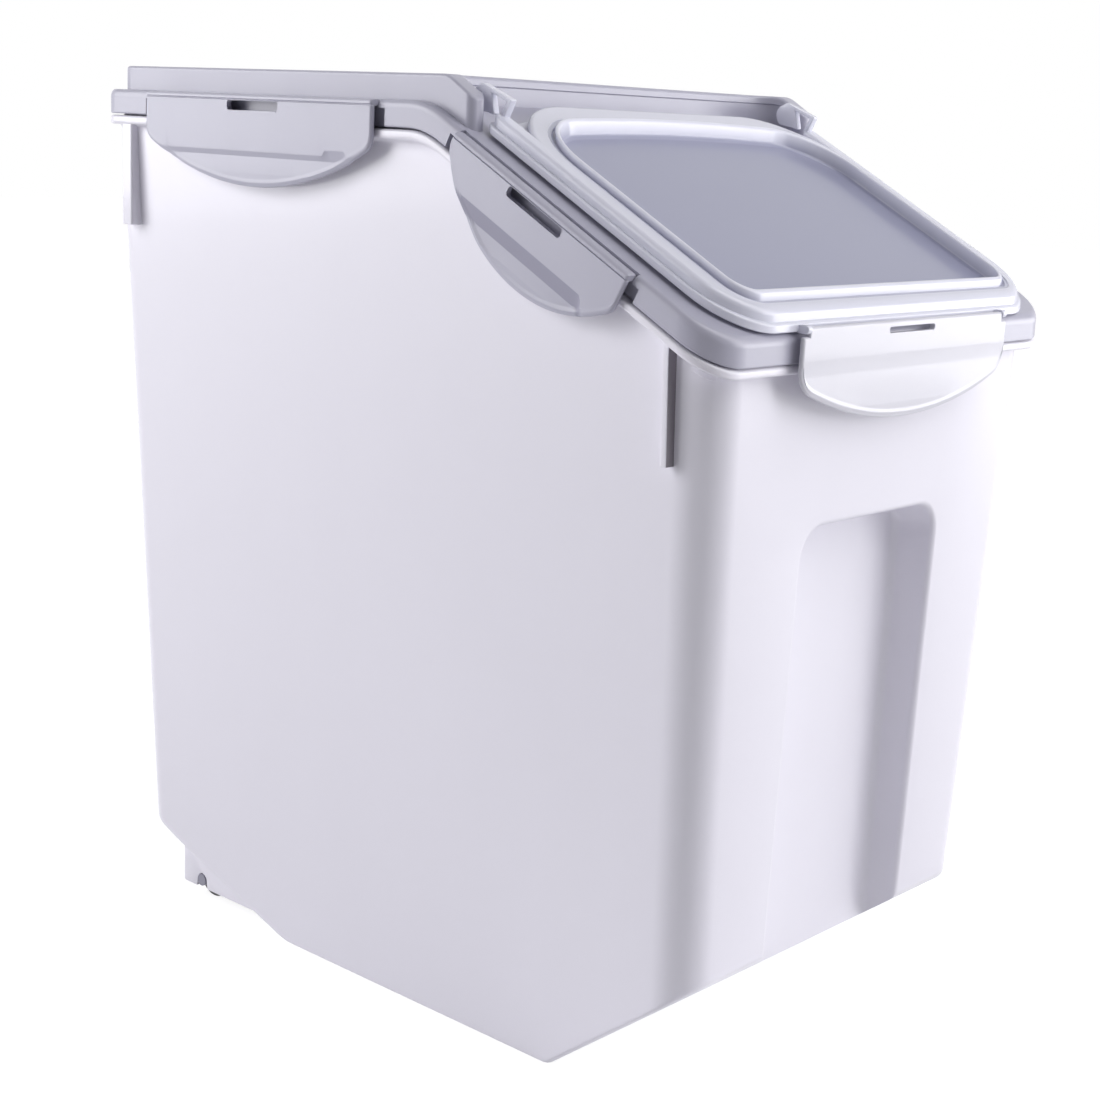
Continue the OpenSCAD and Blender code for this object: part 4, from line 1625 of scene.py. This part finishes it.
@dataclass
class FlipLid:
    """The clear lid over the opening: flange, deck, ridge round a sunken window, hinge ears.

    Heights are above the line that the lid frame's lower edge follows.

    Attributes:
        flange_low: Lower edge of the flange.
        pocket: Top of the flange.
        deck: Top of the deck.
        ridge: Top of the ridge round the window.
        window: Top of the sunken window.
        wall: Thickness of the flange.
        plate: Thickness of the deck and the window.
        hinge: Place of the hinge along Y and Z.
        stud_r: Radius of the hinge's studs.
    """

    flange_low: float = 11.6
    pocket: float = 15.0
    deck: float = 19.5
    ridge: float = 21.7
    window: float = 14.9
    wall: float = 1.8
    plate: float = 2.0
    hinge: tuple = (-43.5, 377.5)
    stud_r: float = 2.2

    def flange_line(self) -> Line:
        """Outer edge of the lid, with the rear corners cut forward beside the hinge."""
        half = [(104.8, -174.2, 22.5), (104.8, -52.0, 4.0), (86.0, -52.0, 5.0), (63.0, -44.4, 6.0)]
        return corner_line(half + [(-x, y, r) for x, y, r in half[::-1]], True, 10, 0.6)

    def deck_line(self) -> Line:
        """Outer edge of the raised deck, with wide arcs at its rear corners."""
        return plan_line(103.2, -173.0, -46.2, 22.0, 46.0, steps=16)

    def window_line(self) -> Line:
        """Outside of the ridge, whose rear edge bows towards the hinge as a parabola.

        Returns:
            The line.
        """
        marks = [(0, x) for x in np.linspace(-60, 60, 9)]
        line = plan_line(92.0, -166.6, -60.0, 10.0, 28.0, marks, steps=12)
        x, y = line.points.T
        bow = 3.6 * np.clip(1 - (x / 78) ** 2, 0, 1) * (y > -100)
        return Line(np.column_stack([x, y + bow]), line.normals)

    def window_painted_shade(self, p: Array) -> Array:
        """Share of painted shade: one on the window, where the shaded inside of the bin shows through, less
        on its walls and groove, more on the rear wall to dim its highlight, little on the deck and nought
        on thick edges.

        Args:
            p: (n, 3) places.

        Returns:
            (n,) tones.
        """
        height = p[:, 2] - RIM.frame_z + RIM.drop(p[:, 1])
        ridge, flat = self.window_line(), p[:, :2]
        painted_shade = inside(flat, ridge.moved(-2.2)) & (height < self.window + 0.6)
        wall = inside(flat, ridge.moved(-1.2)) & (height < self.ridge - 1.2)
        groove = inside(flat, ridge.moved(2.8)) & (height > self.pocket) & (height < self.deck - 0.2)
        deck = inside(flat, self.flange_line().moved(-0.5)) & (height < self.deck + 0.2)
        rear = smooth_step(p[:, 1], -76, -66)
        return np.maximum.reduce([painted_shade * 1.0, wall * (0.5 + 0.4 * rear), groove * 0.6, deck * 0.12])

    def shell(self) -> list:
        """Upper and lower faces of the lid, joined at the flange's lower edge.

        Each raised or sunken part is a section carried round its line, and flat sheets join one
        to the next, above and below.

        Returns:
            The patches.
        """
        on = RIM.on(RIM.frame_z)
        under_deck, under_window = self.deck - self.plate, self.window - self.plate
        under_flange = self.pocket - self.wall
        step = self.deck - 0.45
        flange = sweep(self.flange_line(), profile(
            (-2.6, under_flange, 0), (-2.6, self.flange_low, 0.3), (0, self.flange_low, 0.6),
            (0, self.pocket, 0.7), (-1.0, self.pocket, 0), steps=4, guard=0.1), on)
        deck = sweep(self.deck_line(), profile(
            (0, self.pocket, 0), (0, self.deck, 2.2), (-2.8, self.deck, 0)), on)
        ridge = sweep(self.window_line(), profile(
            (3.3, self.deck, 0), (2.9, self.deck, 0.2), (2.5, step, 0.3), (1.3, step, 0.3),
            (1.0, step - 0.9, 0.3), (0.05, step - 0.9, 0.3),
            (0, self.ridge, 0.85), (-1.8, self.ridge, 0.85), (-2.3, self.window, 1.3),
            (-5.0, self.window, 0), guard=0.12), on)
        deck_in = sweep(self.deck_line(), profile(
            (-1.8, under_flange, 0), (-1.8, under_deck, 0.7), (-3.6, under_deck, 0), steps=4), on)
        ridge_in = sweep(self.window_line(), profile(
            (1.6, under_deck, 0), (0, under_deck, 0.5), (0, under_window, 0.9), (-2.5, under_window, 0),
            steps=4), on)
        return [
            *(grid_patch(g) for g in (flange, deck, ridge, deck_in, ridge_in)),
            sheet(flange[-1], (deck[0],)), sheet(deck[-1], (ridge[0],)), sheet(ridge[-1]),
            sheet(flange[0], (deck_in[0],)), sheet(deck_in[-1], (ridge_in[0],)), sheet(ridge_in[-1]),
        ]

    def ears(self) -> list:
        """An arm along each side that rises into a rounded ear round the hinge stud.

        Returns:
            The patches.
        """
        def at(y: float, height: float, r: float) -> tuple:
            """A corner of the side view at a height above the slope."""
            return y, RIM.frame_z + height - float(RIM.drop(y)), r

        arm = corner_line([(103.1, -97.0, 2.6), (103.1, -54.0, 2.6), (95.8, -54.0, 2.6),
                           (95.8, -97.0, 2.6)], True, 5, 0.3)
        low, high = self.pocket - 1.2, self.deck - 0.05
        grid = sweep(arm, profile((-2, low, 0), (0, low, 0.3), (0, high, 1.6), (-2.4, high, 0)),
                     RIM.on(RIM.frame_z))
        fin = corner_line([at(-51.5, 17.0, 0.6), at(-47.5, 16.0, 2.0), (-40.5, 373.0, 3.2),
                           (-38.4, 379.6, 4.0), (-44.8, 382.7, 1.5), (-49.2, 381.0, 0.6)], True, 7, 0.25)
        strut = corner_line([(-48.6, 381.2, 0.4), (-60.0, 376.7, 0.5), at(-56.6, 18.6, 0.4),
                             at(-54.6, 18.6, 0.4), (-57.6, 376.0, 0.5), (-49.6, 379.2, 0.4)], True, 5, 0.15)
        angle = np.linspace(0, 2 * math.pi, 33)[:-1]
        circle = np.stack([np.cos(angle), np.sin(angle)], 1)
        stud = Line(np.array(self.hinge) + self.stud_r * circle, circle)
        return both_sides([
            grid_patch(grid), sheet(grid[0]), sheet(grid[-1]),
            *slab(fin, 96.4, 99.7, 0.45, across),
            *slab(strut, 96.4, 99.7, 0.25, across),
            *slab(stud, 99.0, 105.6, 0.3, across),
        ])

    def lugs(self) -> list:
        """Small lugs in front that hold the front latch's studs.

        Returns:
            The patches.
        """
        lug = corner_line([(-178.6, 300.6, 1.5), (-173.3, 301.0, 0.4), (-173.3, 303.9, 0.4),
                           (-178.6, 303.9, 1.5)], True, 6, 0.2)
        return both_sides(slab(lug, 66.7, 69.5, 0.3, across))

    def build(self) -> None:
        """Makes the flip lid."""
        # The tone paints shade on the window, its walls and groove, and the deck.
        piece = Piece("flip_lid_shell", "flip_lid", "clear_plastic", ("flip_lid",), tone=self.window_painted_shade)
        piece.add(*self.shell(), *self.ears(), *self.lugs())
        piece.make(Finishes.CLEAR.value.material())


# ---------------------------------------------------------------- wheels and carried-over parts


@dataclass
class Wheels:
    """Two small rollers between the brackets.

    Attributes:
        z: Height of their axle.
        bore: Radius of their hole.
        hub: Radius of the hub that stands out beside the tread.
        web: Radius where the dished side meets the tread's edge.
        tread: Radius of the tread.
        middle: Distance of the tread's middle from the bin's middle.
        hub_near: How far the hub reaches from there towards the bin's middle.
        hub_far: How far it reaches away from it.
    """

    z: float = 10.3
    bore: float = 2.95
    hub: float = 4.6
    web: float = 8.0
    tread: float = 10.0
    middle: float = 79.0
    hub_near: float = 8.0
    hub_far: float = 10.0

    def build(self) -> None:
        """Makes the wheels: a section turned about the axle, with dished sides."""
        angle = np.linspace(0, 2 * math.pi, 65)[:-1]
        circle = Line(np.zeros((64, 2)), np.stack([np.cos(angle), np.sin(angle)], 1))
        near, far, x = self.hub_near, self.hub_far, self.middle
        dish = [(self.hub, 5, 0.3), (self.web, 5, 0.3), (self.web, 6, 0.3), (self.tread, 6, 0.9)]
        start = (self.bore, x - near, 0)
        section = profile(
            start, (self.hub, x - near, 0.4), *((r, x - d, soft) for r, d, soft in dish),
            *((r, x + d, soft) for r, d, soft in dish[::-1]), (self.hub, x + far, 0.4),
            (self.bore, x + far, 0), start, steps=4, guard=0.05)
        grid = sweep(circle, section, lambda a, b, h: np.stack([h, AXLE_Y + a, self.z + b], -1))
        shape = grid_patch(grid)
        for side, made in (("right", shape), ("left", shape.mirrored())):
            node = f"wheel_{side}"
            piece = Piece(f"{node}_roller", node, "wheel_plastic", (node,), [made])
            piece.make(Finishes.WHEEL.value.material())


@dataclass(frozen=True)
class CarriedParts:
    """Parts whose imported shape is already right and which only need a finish.

    Attributes:
        finishes: Name and finish of each part.
    """

    finishes: tuple = (
        ("lid_gasket", Finishes.SEAL), ("flip_lid_gasket", Finishes.SEAL),
        ("axle_left", Finishes.AXLE), ("axle_right", Finishes.AXLE),
    )

    def build(self) -> None:
        """Gives each carried part its finish."""
        for name, finish in self.finishes:
            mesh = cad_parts[name].data
            mesh.materials.clear()
            mesh.materials.append(finish.value.material())
            log.info("%s: dressed", name)


# ---------------------------------------------------------------- studio


@dataclass
class Studio:
    """Pale floor, soft lamps, white surroundings and the camera.

    Attributes:
        eye: Place of the camera in metres.
        right: Direction to its right.
        forward: Direction that it looks in.
        lens: Focal length for a sensor 36 mm wide.
        fill: Strength of the surroundings' light on the object.
        lamps: Name, place, width, height and power of each lamp.
    """

    eye: tuple = (-0.6360, -0.5648, 0.3688)
    right: tuple = (0.6701, -0.7410, 0.0446)
    forward: tuple = (0.7308, 0.6480, -0.2143)
    lens: float = 63.54
    fill: float = 0.03
    lamps: tuple = (
        ("lamp_front", (0.9, -1.6, 0.9), 1.0, 1.2, 15.0),
        ("lamp_right", (1.6, -1.1, 0.36), 1.2, 0.6, 12.7),
        ("lamp_left_rear", (-1.2, 1.4, 0.7), 1.0, 1.2, 20.0),
        ("lamp_left", (-1.4, 0.8, 1.2), 0.9, 0.9, 10.0),
        ("lamp_top", (0.3, -1.0, 1.8), 1.2, 1.2, 16.0),
    )

    def camera(self) -> None:
        """Places the camera, with its directions made square to each other."""
        data = bpy.data.cameras.new("camera")
        data.sensor_width = 36.0
        data.lens = self.lens
        data.clip_end = 50
        cam = bpy.data.objects.new("camera", data)
        bpy.context.scene.collection.objects.link(cam)
        forward = Vector(self.forward).normalized()
        right = Vector(self.right)
        right = (right - forward * right.dot(forward)).normalized()
        turn = Matrix((right, right.cross(forward), -forward)).transposed()
        cam.matrix_world = Matrix.Translation(self.eye) @ turn.to_4x4()
        bpy.context.scene.camera = cam

    def lamp(self, name: str, at: tuple, width: float, height: float, power: float) -> None:
        """A rectangular soft lamp that faces the middle of the bin.

        Args:
            name: Name of the lamp.
            at: Its place in metres.
            width: Its width in metres.
            height: Its height in metres.
            power: Its power in watts.
        """
        data = bpy.data.lights.new(name, "AREA")
        data.shape = "RECTANGLE"
        data.size, data.size_y = width, height
        data.energy = power
        data.color = (0.985, 0.98, 1.0)
        lamp = bpy.data.objects.new(name, data)
        lamp.location = at
        lamp.rotation_euler = (Vector((0, 0, 0.2)) - Vector(at)).to_track_quat("-Z", "Y").to_euler()
        bpy.context.scene.collection.objects.link(lamp)

    def seen_directly(self, nodes: bpy.types.Nodes, links: bpy.types.NodeLinks) -> bpy.types.NodeSocket:
        """One for camera, glossy and transmission rays, and nought for the light that falls on things.

        Args:
            nodes: Nodes of the material or world.
            links: Its links.

        Returns:
            The value's socket.
        """
        path = nodes.new("ShaderNodeLightPath")
        total = path.outputs["Is Camera Ray"]
        for other in ("Is Glossy Ray", "Is Transmission Ray"):
            most = nodes.new("ShaderNodeMath")
            most.operation = "MAXIMUM"
            links.new(total, most.inputs[0])
            links.new(path.outputs[other], most.inputs[1])
            total = most.outputs[0]
        return total

    def surroundings(self) -> None:
        """White where it is looked at, a dim even fill for the object."""
        world = bpy.data.worlds.new("studio")
        bpy.context.scene.world = world
        world.use_nodes = True
        nodes, links = world.node_tree.nodes, world.node_tree.links
        nodes.clear()
        pick = nodes.new("ShaderNodeMixShader")
        links.new(self.seen_directly(nodes, links), pick.inputs["Fac"])
        for place, colour, strength in ((1, (0.93, 0.93, 1.0, 1), self.fill), (2, (1, 1, 1, 1), 1.0)):
            light = nodes.new("ShaderNodeBackground")
            light.inputs["Color"].default_value = colour
            light.inputs["Strength"].default_value = strength
            links.new(light.outputs[0], pick.inputs[place])
        out = nodes.new("ShaderNodeOutputWorld")
        links.new(pick.outputs[0], out.inputs["Surface"])

    def floor(self) -> None:
        """A wide pale floor that glows where it is looked at and still takes the shadow."""
        mesh = bpy.data.meshes.new("floor")
        s = 6.0
        mesh.from_pydata([(-s, -s, 0), (s, -s, 0), (s, s, 0), (-s, s, 0)], [], [(0, 1, 2, 3)])
        floor = bpy.data.objects.new("floor", mesh)
        bpy.context.scene.collection.objects.link(floor)
        made = bpy.data.materials.new("floor_pale")
        made.use_nodes = True
        nodes, links = made.node_tree.nodes, made.node_tree.links
        matt = nodes["Principled BSDF"]
        matt.inputs["Base Color"].default_value = (0.8, 0.8, 0.82, 1)
        matt.inputs["Roughness"].default_value = 0.9
        glow, dim = nodes.new("ShaderNodeEmission"), nodes.new("ShaderNodeBsdfDiffuse")
        away = nodes.new("ShaderNodeVectorMath")
        away.operation = "LENGTH"
        links.new(nodes.new("ShaderNodeTexCoord").outputs["Object"], away.inputs[0])
        rise = nodes.new("ShaderNodeMapRange")
        for name, value in (("From Min", 0.3), ("From Max", 1.1), ("To Min", 0.86), ("To Max", 1.0)):
            rise.inputs[name].default_value = value
        links.new(away.outputs["Value"], rise.inputs["Value"])
        links.new(rise.outputs["Result"], glow.inputs["Strength"])
        dim.inputs["Color"].default_value = (0.35, 0.35, 0.36, 1)
        both, pick = nodes.new("ShaderNodeAddShader"), nodes.new("ShaderNodeMixShader")
        links.new(glow.outputs[0], both.inputs[0])
        links.new(dim.outputs[0], both.inputs[1])
        links.new(self.seen_directly(nodes, links), pick.inputs["Fac"])
        links.new(matt.outputs[0], pick.inputs[1])
        links.new(both.outputs[0], pick.inputs[2])
        links.new(pick.outputs[0], nodes["Material Output"].inputs["Surface"])
        mesh.materials.append(made)

    def build(self) -> None:
        """Sets the stage."""
        self.camera()
        self.surroundings()
        self.floor()
        for lamp in self.lamps:
            self.lamp(*lamp)
        bpy.context.scene.view_settings.view_transform = "Standard"


def main() -> None:
    """Builds every part in order."""
    logging.basicConfig(level=logging.INFO, format="%(message)s")
    for part in (BinBody(), LidFrame(), Latches(), FlipLid(), Wheels(), CarriedParts(), Studio()):
        part.build()


if __name__ == "__main__":
    main()
